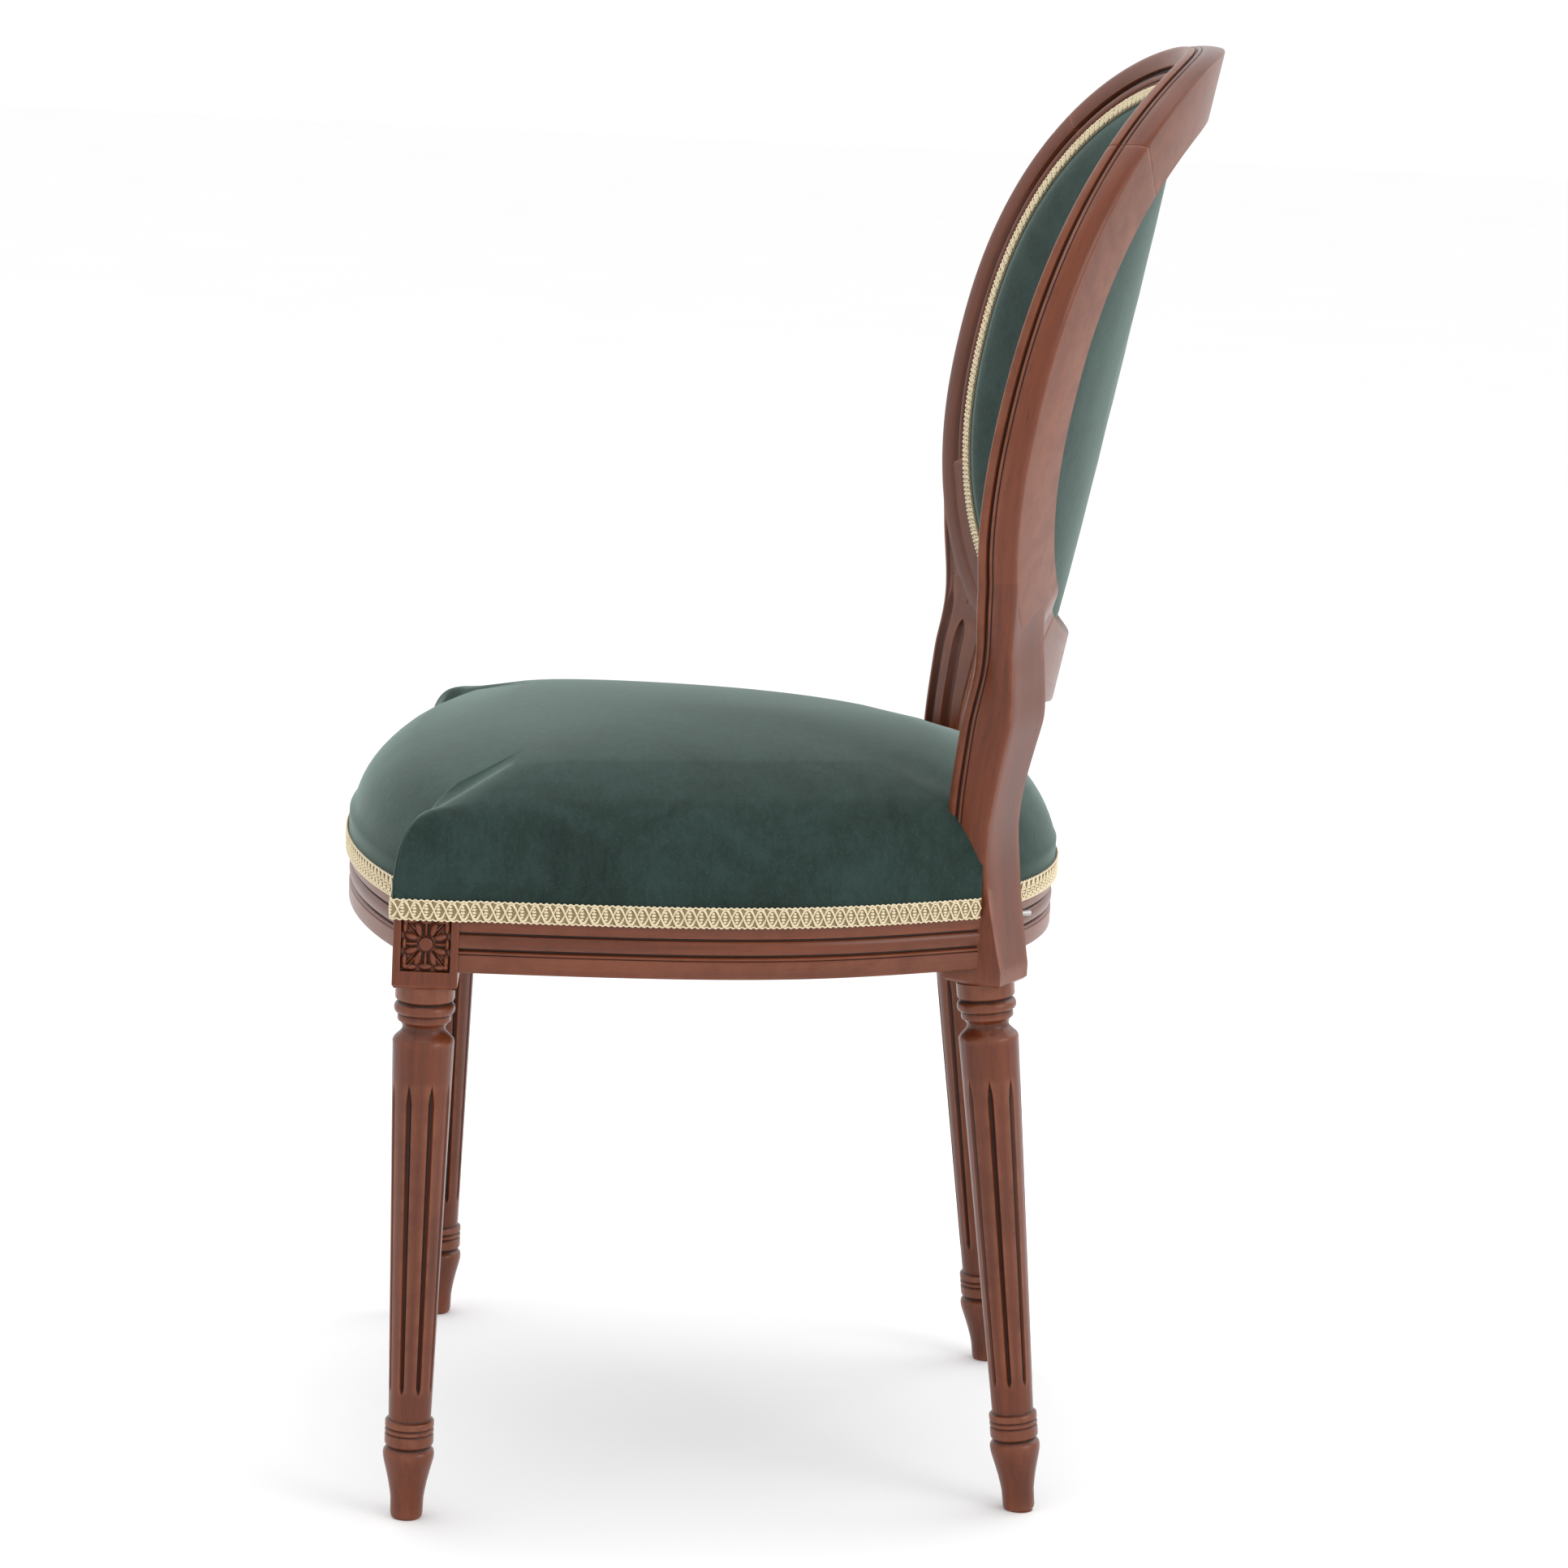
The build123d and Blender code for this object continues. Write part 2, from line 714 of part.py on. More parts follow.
save(webbing(True, webbing_bed), "seat_webbing_front_to_back")
save(webbing(False, webbing_over), "seat_webbing_side_to_side")
save(seat_hessian.part, "seat_hessian")
save(seat_foam.part, "seat_foam")
save(seat_cover.part, "seat_cover")
save(gimp_runs[-1], "seat_gimp_front")
save(gimp_runs[-2], "seat_gimp_rear")
save(dust_cover.part, "dust_cover")


# ---------------------------------------------------------------- back upholstery
def back_layer(near, far, inset):
    """One layer of the back panel, between two depths, inside this inset."""
    with BuildPart() as layer:
        add(back_slab(near, far))
        add(oval_prism(inset), mode=Mode.INTERSECT)
    return layer.part


def back_webbing(upright, near):
    """Two strips across the back opening, upright or level."""
    long_side = 3 * oval_half_height
    with BuildPart() as strips:
        with BuildSketch(Plane.XZ.offset(-bar_end)):
            with Locations((0, oval_z)):
                if upright:
                    with GridLocations(back_webbing_spacing, 1, 2, 1):
                        Rectangle(webbing_width, long_side)
                else:
                    with GridLocations(1, back_webbing_spacing, 1, 2):
                        Rectangle(long_side, webbing_width)
        extrude(amount=bar_end - bar_start)
        add(back_layer(near, near + webbing_thickness, layer_inset), mode=Mode.INTERSECT)
    return strips.part


layer_inset = rebate_inset + 1.0
outer_cover_near = rebate_depth - cover_thickness
upright_near = outer_cover_near - webbing_thickness
level_near = upright_near - webbing_thickness
back_hessian_near = level_near - back_hessian_thickness
cover_near = back_hessian_near - cover_thickness
pad_inset = layer_inset + back_gimp_width + 2.0
pad_rise = cover_near + back_pad_proud
pad_steps = [(1, 0.0), (2, 9.0), (3, 24.0)]

with BuildPart() as back_foam:
    for step, inward in pad_steps:
        near = back_hessian_near - cover_thickness - pad_rise * step / 3 + cover_thickness
        add(back_layer(near, back_hessian_near, pad_inset + inward))

with BuildPart() as back_cover_inner:
    add(back_layer(cover_near, back_hessian_near, layer_inset))
    for step, inward in pad_steps:
        near = back_hessian_near - cover_thickness - pad_rise * step / 3
        add(back_layer(near, back_hessian_near, pad_inset + inward - cover_thickness))
    add(back_foam.part, mode=Mode.SUBTRACT)

with BuildPart() as back_gimp:
    add(back_layer(cover_near - gimp_thickness, cover_near, layer_inset))
    add(oval_prism(layer_inset + back_gimp_width), mode=Mode.SUBTRACT)

save(back_layer(outer_cover_near, rebate_depth, layer_inset), "back_cover_outer")
save(back_webbing(True, upright_near), "back_webbing_upright")
save(back_webbing(False, level_near), "back_webbing_level")
save(back_layer(back_hessian_near, level_near, layer_inset), "back_hessian")
save(back_foam.part, "back_foam")
save(back_cover_inner.part, "back_cover_inner")
save(back_gimp.part, "back_gimp")
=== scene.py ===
import bpy
import math
import numpy as np
from mathutils import Matrix, Vector


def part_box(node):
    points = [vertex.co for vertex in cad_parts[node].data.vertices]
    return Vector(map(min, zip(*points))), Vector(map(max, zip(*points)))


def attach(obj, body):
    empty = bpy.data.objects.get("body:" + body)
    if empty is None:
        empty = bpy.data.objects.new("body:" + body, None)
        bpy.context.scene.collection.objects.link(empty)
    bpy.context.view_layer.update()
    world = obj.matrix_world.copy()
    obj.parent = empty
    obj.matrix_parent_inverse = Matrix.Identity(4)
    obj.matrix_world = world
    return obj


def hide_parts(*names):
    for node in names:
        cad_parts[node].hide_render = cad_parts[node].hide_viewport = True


# Oval-back dining chair with turned, fluted legs, a velvet seat and velvet back panels.
# +Z up, the sitter faces -Y, and "left" is the sitter's left, +X. Shapes are worked out in millimetres.

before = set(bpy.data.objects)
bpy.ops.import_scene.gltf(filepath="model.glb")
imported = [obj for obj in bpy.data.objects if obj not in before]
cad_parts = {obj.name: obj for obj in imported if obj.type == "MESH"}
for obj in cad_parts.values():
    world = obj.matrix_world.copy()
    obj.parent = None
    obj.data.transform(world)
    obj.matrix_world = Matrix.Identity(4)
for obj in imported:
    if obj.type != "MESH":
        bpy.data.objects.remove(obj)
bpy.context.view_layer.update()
print("frame loaded", len(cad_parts), "nodes")

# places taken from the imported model
legLow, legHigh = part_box("front_leg_left")
crestLow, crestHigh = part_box("crest_rail")
frontLegX = (legLow.x + legHigh.x) * 500
frontLegY = (legLow.y + legHigh.y) * 500
railTop = legHigh.z * 1000
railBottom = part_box("front_rail")[0].z * 1000
legHeight = railBottom - 11.0
ovalHalfHeight = 226.5
ovalHalfWidth = 227.5
ovalZ = crestHigh.z * 1000 - ovalHalfHeight
blockHalf = 21.5

rearLeg = {"x": 157.5, "y": 151.0, "turn": 30.0, "footOut": 12.5, "footBack": 43.5}
back = {"y": 220.7, "rake": 0.183, "nose": 84.0, "slope": 0.662, "power": 2.2, "width": 47.0, "depth": 27.5}

turn = math.radians(rearLeg["turn"])
outward = np.array((math.cos(turn), -math.sin(turn), 0.0))
backward = np.array((math.sin(turn), math.cos(turn), 0.0))


def rearPoint(out, behind, z=0.0):
    return np.array((rearLeg["x"], rearLeg["y"], z)) + outward * out + backward * behind


def backFront(x, z):
    sag = np.sqrt(back["nose"] ** 2 + (back["slope"] * x) ** 2) - back["nose"]
    return back["y"] + back["rake"] * (z - ovalZ) - sag


def ovalPoint(angle, inset):
    c, s = np.cos(angle), np.sin(angle)
    power = 2 / back["power"]
    x = (ovalHalfWidth - inset) * np.abs(c) ** power * np.sign(c)
    z = ovalZ + (ovalHalfHeight - inset) * np.abs(s) ** power * np.sign(s)
    return x, z


def smoothStep(low, high, value):
    t = np.clip((value - low) / (high - low), 0, 1)
    return t * t * (3 - 2 * t)


def smoothCurve(places, values, wanted):
    # natural cubic curve through the values at these places
    x = np.array(places, float)
    y = np.array(values, float)
    n = len(x)
    h = np.diff(x)
    a = np.zeros((n, n))
    b = np.zeros(n)
    a[0, 0] = a[-1, -1] = 1
    for i in range(1, n - 1):
        a[i, i - 1] = h[i - 1]
        a[i, i] = 2 * (h[i - 1] + h[i])
        a[i, i + 1] = h[i]
        b[i] = 6 * ((y[i + 1] - y[i]) / h[i] - (y[i] - y[i - 1]) / h[i - 1])
    m = np.linalg.solve(a, b)
    w = np.atleast_1d(np.array(wanted, float))
    k = np.clip(np.searchsorted(x, w) - 1, 0, n - 2)
    u = w - x[k]
    v = x[k + 1] - w
    first = m[k] * v**3 / (6 * h[k]) + m[k + 1] * u**3 / (6 * h[k])
    second = (y[k] / h[k] - m[k] * h[k] / 6) * v + (y[k + 1] / h[k] - m[k + 1] * h[k] / 6) * u
    return first + second


def ringFaces(runs, across, closedRun=False):
    r = np.arange(runs if closedRun else runs - 1)[:, None]
    c = np.arange(across)[None, :]
    nextRun = (r + 1) % runs
    nextCol = (c + 1) % across
    quads = [r * across + c, nextRun * across + c, nextRun * across + nextCol, r * across + nextCol]
    quads = np.stack(quads, -1)
    return [tuple(int(i) for i in q) for q in quads.reshape(-1, 4)]


def skin(rings, closedRun=False):
    # closed surface through a run of rings, with a middle point at each open end
    rings = np.array(rings, float)
    runs, across = rings.shape[:2]
    points = rings.reshape(-1, 3)
    faces = ringFaces(runs, across, closedRun)
    if not closedRun:
        for start in (0, (runs - 1) * across):
            centre = points[start:start + across].mean(axis=0)
            points = np.vstack([points, centre])
            middle = len(points) - 1
            for c in range(across):
                edge = (start + c, start + (c + 1) % across)
                faces.append((edge[0], edge[1], middle) if start == 0 else (edge[1], edge[0], middle))
    return outwardFacing(points, faces)


def outwardFacing(points, faces):
    total = 0.0
    for size in (3, 4):
        few = np.array([f for f in faces if len(f) == size])
        if len(few) == 0:
            continue
        a = points[few[:, 0]]
        for k in range(1, size - 1):
            total += np.einsum("ij,ij->i", a, np.cross(points[few[:, k]], points[few[:, k + 1]])).sum()
    if total < 0:
        faces = [tuple(reversed(f)) for f in faces]
    return points, faces


def joined(parts):
    points, faces, count = [], [], 0
    for p, f in parts:
        points.append(p)
        faces += [tuple(i + count for i in face) for face in f]
        count += len(p)
    return np.vstack(points), faces


def mirroredShape(shape):
    points, faces = shape
    return points * np.array((-1, 1, 1)), [tuple(reversed(f)) for f in faces]


def newPiece(name, shape, material, sharp=38, grain=None):
    points, faces = shape
    mesh = bpy.data.meshes.new(name)
    mesh.from_pydata((points / 1000).tolist(), [], faces)
    mesh.update()
    piece = bpy.data.objects.new(name, mesh)
    bpy.context.scene.collection.objects.link(piece)
    mesh.materials.append(material)
    mesh.shade_smooth()
    if sharp < 180:
        mesh.set_sharp_from_angle(angle=math.radians(sharp))
    if grain is not None:
        place = mesh.attributes.new("grainPlace", "FLOAT_VECTOR", "POINT")
        place.data.foreach_set("vector", (np.array(grain, float) / 1000).ravel())
    markHollows(mesh)
    return piece


def grainFor(rings, places):
    # skin() adds one middle point at each end
    return np.vstack([places.reshape(-1, 3), places[0].mean(axis=0), places[-1].mean(axis=0)])


def finishWood(name, parts, grains, node):
    piece = newPiece(name, joined(parts), stainedWood, 30, grain=np.vstack(grains))
    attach(piece, "root")
    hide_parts(node)


def markHollows(mesh):
    # stores 0.5 on flat places, more in grooves and less on edges
    count = len(mesh.vertices)
    co = np.zeros(count * 3)
    mesh.vertices.foreach_get("co", co)
    co = co.reshape(-1, 3)
    normals = np.zeros(count * 3)
    mesh.vertex_normals.foreach_get("vector", normals)
    normals = normals.reshape(-1, 3)
    edges = np.zeros(len(mesh.edges) * 2, int)
    mesh.edges.foreach_get("vertices", edges)
    edges = edges.reshape(-1, 2)
    both = np.vstack([edges, edges[:, ::-1]])
    step = co[both[:, 1]] - co[both[:, 0]]
    length = np.linalg.norm(step, axis=1) + 1e-9
    rise = np.einsum("ij,ij->i", step, normals[both[:, 0]]) / length
    total = np.bincount(both[:, 0], rise, count)
    many = np.maximum(np.bincount(both[:, 0], minlength=count), 1)
    value = total / many
    for _ in range(2):
        around = np.bincount(both[:, 0], value[both[:, 1]], count) / many
        value = 0.5 * value + 0.5 * around
    hollow = np.clip(0.5 + value * 1.4, 0, 1)
    layer = mesh.attributes.new("hollow", "FLOAT", "POINT")
    layer.data.foreach_set("value", hollow)


def addNode(tree, kind, **settings):
    node = tree.nodes.new(kind)
    for key, value in settings.items():
        if hasattr(node, key):
            setattr(node, key, value)
        else:
            node.inputs[key].default_value = value
    return node


def feed(tree, source, target):
    if hasattr(source, "is_output"):
        tree.links.new(source, target)
    else:
        target.default_value = source


def mathStep(tree, operation, first, second=0.0, clamp=False):
    node = tree.nodes.new("ShaderNodeMath")
    node.operation = operation
    node.use_clamp = clamp
    feed(tree, first, node.inputs[0])
    feed(tree, second, node.inputs[1])
    return node.outputs[0]


def remap(tree, value, low, high, toLow=0.0, toHigh=1.0):
    node = tree.nodes.new("ShaderNodeMapRange")
    feed(tree, value, node.inputs["Value"])
    feed(tree, low, node.inputs["From Min"])
    feed(tree, high, node.inputs["From Max"])
    feed(tree, toLow, node.inputs["To Min"])
    feed(tree, toHigh, node.inputs["To Max"])
    return node.outputs["Result"]


def blendColour(tree, factor, first, second):
    node = tree.nodes.new("ShaderNodeMix")
    node.data_type = "RGBA"
    feed(tree, factor, node.inputs["Factor"])
    feed(tree, first, node.inputs[6])  # the two colour sockets are 6 and 7
    feed(tree, second, node.inputs[7])
    return node.outputs[2]


def noise(tree, vector, scale, detail=3.0, rough=0.5, distortion=0.0):
    node = tree.nodes.new("ShaderNodeTexNoise")
    tree.links.new(vector, node.inputs["Vector"])
    node.inputs["Scale"].default_value = scale
    node.inputs["Detail"].default_value = detail
    node.inputs["Roughness"].default_value = rough
    node.inputs["Distortion"].default_value = distortion
    return node.outputs[0]


def stretched(tree, vector, scale):
    node = tree.nodes.new("ShaderNodeVectorMath")
    node.operation = "MULTIPLY"
    tree.links.new(vector, node.inputs[0])
    node.inputs[1].default_value = scale
    return node.outputs[0]


def newGroup(name, inputs, outputs):
    group = bpy.data.node_groups.new(name, "ShaderNodeTree")
    kinds = {"colour": "NodeSocketColor", "value": "NodeSocketFloat", "vector": "NodeSocketVector"}
    for label, kind, default in inputs:
        socket = group.interface.new_socket(label, in_out="INPUT", socket_type=kinds[kind])
        if default is not None:
            socket.default_value = default
    for label, kind in outputs:
        group.interface.new_socket(label, in_out="OUTPUT", socket_type=kinds[kind])
    return group, group.nodes.new("NodeGroupInput").outputs, group.nodes.new("NodeGroupOutput").inputs


def woodFigureGroup():
    # long soft streaks, fine dark pores and slow colour drift, on stretched coordinates
    group, given, out = newGroup(
        "woodFigure",
        [("Place", "vector", None), ("Light", "colour", (0.3, 0.08, 0.03, 1)),
         ("Dark", "colour", (0.1, 0.02, 0.01, 1)), ("Pore Depth", "value", 0.6)],
        [("Color", "colour"), ("Height", "value"), ("Streak", "value")],
    )
    slow = noise(group, stretched(group, given["Place"], (14, 14, 3.5)), 1.0, 3, 0.55, 0.6)
    streak = noise(group, stretched(group, given["Place"], (150, 150, 7)), 1.0, 5, 0.62, 0.4)
    pore = noise(group, stretched(group, given["Place"], (1300, 1300, 60)), 1.0, 2, 0.5)
    slowPart = mathStep(group, "MULTIPLY", slow, 0.45)
    tone = mathStep(group, "ADD", slowPart, mathStep(group, "MULTIPLY", streak, 0.6))
    tone = remap(group, tone, 0.34, 0.72)
    colour = blendColour(group, tone, given["Dark"], given["Light"])
    poreMask = remap(group, pore, 0.62, 0.72)
    poreMask = mathStep(group, "MULTIPLY", poreMask, given["Pore Depth"])
    colour = blendColour(group, poreMask, colour, (0.02, 0.006, 0.004, 1))
    feed(group, colour, out["Color"])
    height = mathStep(group, "SUBTRACT", mathStep(group, "MULTIPLY", streak, 0.4), poreMask)
    feed(group, height, out["Height"])
    feed(group, streak, out["Streak"])
    return group


def edgeWearAndGrooveShadeGroup():
    # how far a place lies in a groove or on an edge, from the stored hollow value; the groove share is used
    # for painted shade, the edge share for wear
    group, given, out = newGroup(
        "edgeWearAndGrooveShade",
        [("Groove Reach", "value", 0.16), ("Edge Reach", "value", 0.2)],
        [("Groove", "value"), ("Edge", "value")],
    )
    stored = addNode(group, "ShaderNodeAttribute", attribute_name="hollow", attribute_type="GEOMETRY")
    place = group.nodes.new("ShaderNodeTexCoord").outputs["Object"]
    patch = noise(group, place, 60, 3, 0.6)
    deeper = mathStep(group, "SUBTRACT", stored.outputs["Fac"], 0.53)
    groove = mathStep(group, "DIVIDE", deeper, given["Groove Reach"], clamp=True)
    higher = mathStep(group, "SUBTRACT", 0.46, stored.outputs["Fac"])
    edge = mathStep(group, "DIVIDE", higher, given["Edge Reach"], clamp=True)
    edge = mathStep(group, "MULTIPLY", edge, remap(group, patch, 0.35, 0.6, 0.35, 1.0))
    feed(group, groove, out["Groove"])
    feed(group, edge, out["Edge"])
    return group


def clothNapGroup():
    # brushed pile: broad blotches, short strokes and fine fuzz
    group, given, out = newGroup(
        "clothNap",
        [("Blotch Scale", "value", 16.0), ("Fuzz Scale", "value", 900.0)],
        [("Blotch", "value"), ("Stroke", "value"), ("Fuzz", "value")],
    )
    place = group.nodes.new("ShaderNodeTexCoord").outputs["Object"]
    for label, key, detail in (("Blotch", "Blotch Scale", 4), ("Fuzz", "Fuzz Scale", 2)):
        node = addNode(group, "ShaderNodeTexNoise", Detail=detail, Roughness=0.6, Distortion=0.8)
        group.links.new(place, node.inputs["Vector"])
        group.links.new(given[key], node.inputs["Scale"])
        feed(group, node.outputs[0], out[label])
    stroke = noise(group, stretched(group, place, (55, 160, 90)), 1.0, 3, 0.6, 1.2)
    feed(group, stroke, out["Stroke"])
    return group


def weaveGroup():
    # plain weave of crossing threads, with uneven slubs
    group, given, out = newGroup(
        "plainWeave", [("Threads", "value", 1500.0)], [("Over", "value"), ("Slub", "value")]
    )
    place = group.nodes.new("ShaderNodeTexCoord").outputs["Object"]
    split = group.nodes.new("ShaderNodeSeparateXYZ")
    group.links.new(place, split.inputs[0])
    across = mathStep(group, "SINE", mathStep(group, "MULTIPLY", split.outputs["X"], given["Threads"]))
    upright = mathStep(group, "ADD", split.outputs["Y"], split.outputs["Z"])
    along = mathStep(group, "SINE", mathStep(group, "MULTIPLY", upright, given["Threads"]))
    feed(group, mathStep(group, "MULTIPLY", across, along), out["Over"])
    feed(group, noise(group, stretched(group, place, (30, 400, 400)), 1.0, 3, 0.6), out["Slub"])
    return group


woodFigure = woodFigureGroup()
edgeWearAndGrooveShade = edgeWearAndGrooveShadeGroup()
clothNap = clothNapGroup()
plainWeave = weaveGroup()


def useGroup(tree, group, **values):
    node = tree.nodes.new("ShaderNodeGroup")
    node.node_tree = group
    for key, value in values.items():
        label = key.replace("_", " ")
        if hasattr(value, "is_output"):
            tree.links.new(value, node.inputs[label])
        else:
            node.inputs[label].default_value = value
    return node.outputs


def newMaterial(name):
    material = bpy.data.materials.new(name)
    material.use_nodes = True
    tree = material.node_tree
    shader = tree.nodes["Principled BSDF"]
    return material, tree, shader


def addBump(tree, shader, height, strength, distance):
    bump = tree.nodes.new("ShaderNodeBump")
    bump.inputs["Strength"].default_value = strength
    bump.inputs["Distance"].default_value = distance
    feed(tree, height, bump.inputs["Height"])
    tree.links.new(bump.outputs["Normal"], shader.inputs["Normal"])


def woodMaterial(name, light, dark, grooveShade, worn, gloss, coat, onGrain=True):
    material, tree, shader = newMaterial(name)
    if onGrain:
        place = addNode(tree, "ShaderNodeAttribute", attribute_name="grainPlace").outputs["Vector"]
    else:
        place = tree.nodes.new("ShaderNodeTexCoord").outputs["Object"]
    figure = useGroup(tree, woodFigure, Place=place, Light=light, Dark=dark, Pore_Depth=0.55)
    wearAndShade = useGroup(tree, edgeWearAndGrooveShade, Groove_Reach=0.13, Edge_Reach=0.2)
    # painted shade: the grooves and hollows are darkened towards the third colour, where shade would fall
    grooveShadeMask = mathStep(tree, "MULTIPLY", wearAndShade["Groove"], 0.9)
    colour = blendColour(tree, grooveShadeMask, figure["Color"], grooveShade)
    edge = mathStep(tree, "MULTIPLY", wearAndShade["Edge"], 0.42)
    colour = blendColour(tree, edge, colour, worn)
    feed(tree, colour, shader.inputs["Base Color"])
    rough = mathStep(tree, "ADD", mathStep(tree, "MULTIPLY", figure["Streak"], 0.16), gloss)
    rough = mathStep(tree, "ADD", rough, mathStep(tree, "MULTIPLY", wearAndShade["Groove"], 0.2))
    feed(tree, rough, shader.inputs["Roughness"])
    shader.inputs["Specular IOR Level"].default_value = 0.3
    shader.inputs["Coat Weight"].default_value = coat
    shader.inputs["Coat Roughness"].default_value = 0.22
    addBump(tree, shader, figure["Height"], 0.16, 0.0006)
    return material


# both woods: the third colour is painted shade darkening the grooves, the fourth is lighter wear on the edges
stainedWood = woodMaterial(
    "stainedWood", (0.16, 0.034, 0.0085, 1), (0.07, 0.0145, 0.005, 1), (0.006, 0.003, 0.002, 1),
    (0.28, 0.1, 0.05, 1), 0.26, 0.16,
)
rawBeech = woodMaterial(
    "rawBeech", (0.62, 0.42, 0.25, 1), (0.46, 0.29, 0.16, 1), (0.3, 0.18, 0.1, 1),
    (0.7, 0.52, 0.34, 1), 0.55, 0.0, onGrain=False,
)


def velvetMaterial():
    material, tree, shader = newMaterial("greenVelvet")
    nap = useGroup(tree, clothNap, Blotch_Scale=15.0, Fuzz_Scale=1100.0)
    blotch = mathStep(tree, "MULTIPLY", nap["Blotch"], 0.7)
    tone = mathStep(tree, "ADD", blotch, mathStep(tree, "MULTIPLY", nap["Stroke"], 0.3))
    tone = remap(tree, tone, 0.36, 0.66)
    colour = blendColour(tree, tone, (0.011, 0.021, 0.018, 1), (0.026, 0.047, 0.041, 1))
    fleck = remap(tree, nap["Fuzz"], 0.6, 0.74)
    colour = blendColour(tree, mathStep(tree, "MULTIPLY", fleck, 0.35), colour, (0.075, 0.13, 0.115, 1))
    feed(tree, colour, shader.inputs["Base Color"])
    feed(tree, remap(tree, nap["Blotch"], 0.3, 0.7, 0.78, 0.95), shader.inputs["Roughness"])
    shader.inputs["Specular IOR Level"].default_value = 0.15
    shader.inputs["Sheen Weight"].default_value = 0.62
    shader.inputs["Sheen Roughness"].default_value = 0.34
    shader.inputs["Sheen Tint"].default_value = (0.56, 0.72, 0.66, 1)
    height = mathStep(tree, "ADD", mathStep(tree, "MULTIPLY", nap["Fuzz"], 0.35), nap["Stroke"])
    addBump(tree, shader, height, 0.22, 0.0008)
    return material


def gimpMaterial(name, light, dark):
    material, tree, shader = newMaterial(name)
    wearAndShade = useGroup(tree, edgeWearAndGrooveShade, Groove_Reach=0.3, Edge_Reach=0.3)
    nap = useGroup(tree, clothNap, Blotch_Scale=40.0, Fuzz_Scale=2600.0)
    colour = blendColour(tree, remap(tree, nap["Fuzz"], 0.35, 0.65), light, dark)
    # painted shade: the grooves between the cords are darkened towards the dark colour
    colour = blendColour(tree, mathStep(tree, "MULTIPLY", wearAndShade["Groove"], 0.5), colour, dark)
    feed(tree, colour, shader.inputs["Base Color"])
    feed(tree, remap(tree, nap["Fuzz"], 0.3, 0.7, 0.6, 0.85), shader.inputs["Roughness"])
    shader.inputs["Sheen Weight"].default_value = 0.25
    shader.inputs["Sheen Roughness"].default_value = 0.4
    addBump(tree, shader, nap["Fuzz"], 0.4, 0.0004)
    return material


def wovenMaterial(name, light, dark, threads, rough):
    material, tree, shader = newMaterial(name)
    weave = useGroup(tree, plainWeave, Threads=threads)
    mask = remap(tree, weave["Over"], -0.8, 0.8)
    colour = blendColour(tree, mask, dark, light)
    colour = blendColour(tree, mathStep(tree, "MULTIPLY", weave["Slub"], 0.5), colour, dark)
    feed(tree, colour, shader.inputs["Base Color"])
    feed(tree, remap(tree, weave["Slub"], 0.3, 0.7, rough - 0.1, rough), shader.inputs["Roughness"])
    addBump(tree, shader, weave["Over"], 0.5, 0.0004)
    return material


def steelMaterial():
    material, tree, shader = newMaterial("screwSteel")
    nap = useGroup(tree, clothNap, Blotch_Scale=120.0, Fuzz_Scale=3000.0)
    colour = blendColour(tree, nap["Blotch"], (0.36, 0.35, 0.33, 1), (0.56, 0.55, 0.53, 1))
    feed(tree, colour, shader.inputs["Base Color"])
    shader.inputs["Metallic"].default_value = 1.0
    feed(tree, remap(tree, nap["Fuzz"], 0.3, 0.7, 0.3, 0.5), shader.inputs["Roughness"])
    addBump(tree, shader, nap["Fuzz"], 0.15, 0.0002)
    return material


greenVelvet = velvetMaterial()
creamCord = gimpMaterial("creamCord", (0.88, 0.79, 0.58, 1), (0.6, 0.48, 0.28, 1))
goldTape = gimpMaterial("goldTape", (0.36, 0.27, 0.14, 1), (0.16, 0.11, 0.055, 1))
juteWebbing = wovenMaterial("juteWebbing", (0.52, 0.36, 0.19, 1), (0.3, 0.19, 0.09, 1), 1800.0, 0.95)
hessianCloth = wovenMaterial("hessianCloth", (0.5, 0.37, 0.21, 1), (0.26, 0.18, 0.1, 1), 2600.0, 0.95)
blackCambric = wovenMaterial("blackCambric", (0.022, 0.022, 0.024, 1), (0.008, 0.008, 0.009, 1), 4200.0, 0.85)
screwSteel = steelMaterial()
print("materials made")

turned = {
    "flutes": 8, "fluteHalf": 2.15, "fluteDepth": 2.3, "fluteTop": 303.0, "fluteFoot": 89.0,
    "profile": [
        (372, 18.4), (369.2, 19.0), (368.5, 19.7), (359.3, 19.7), (358.3, 19.3), (357.6, 18.3),
        (356.6, 17.8), (355.7, 18.3), (355.1, 19.2), (354.1, 19.9), (352.8, 20.2), (351.4, 20.2),
        (350.1, 19.8), (349.2, 19.1), (348.8, 18.2), (348.2, 17.5), (347.2, 17.7), (344.6, 17.8),
        (343.6, 17.4), (342.7, 16.2), (341.5, 15.1), (340.2, 14.4), (338.8, 14.2), (337.2, 14.6),
        (335.6, 15.8), (334.0, 17.5), (332.6, 19.0), (331.2, 20.0), (329.6, 20.5), (327.6, 20.35),
        (70.4, 14.2), (69.4, 14.4), (69.0, 15.0), (68.6, 16.0), (67.9, 16.4), (64.6, 16.4), (64.1, 15.9),
        (63.5, 15.6), (62.9, 15.9), (62.4, 16.4), (60.8, 16.4), (60.3, 15.9), (59.7, 15.6), (59.1, 15.9),
        (58.6, 16.4), (53.2, 16.4), (52.2, 16.1), (51.4, 15.2), (50.4, 14.5), (49.6, 14.9), (48.8, 16.0),
        (47.4, 16.9), (45.4, 17.2), (42.6, 17.0), (38.5, 16.1), (32.5, 14.6), (26.0, 13.1), (19.5, 11.9),
        (14.5, 11.2), (9.0, 11.0), (3.5, 10.9), (1.3, 10.4), (0.3, 9.3), (-2.5, 9.2),
    ],
}


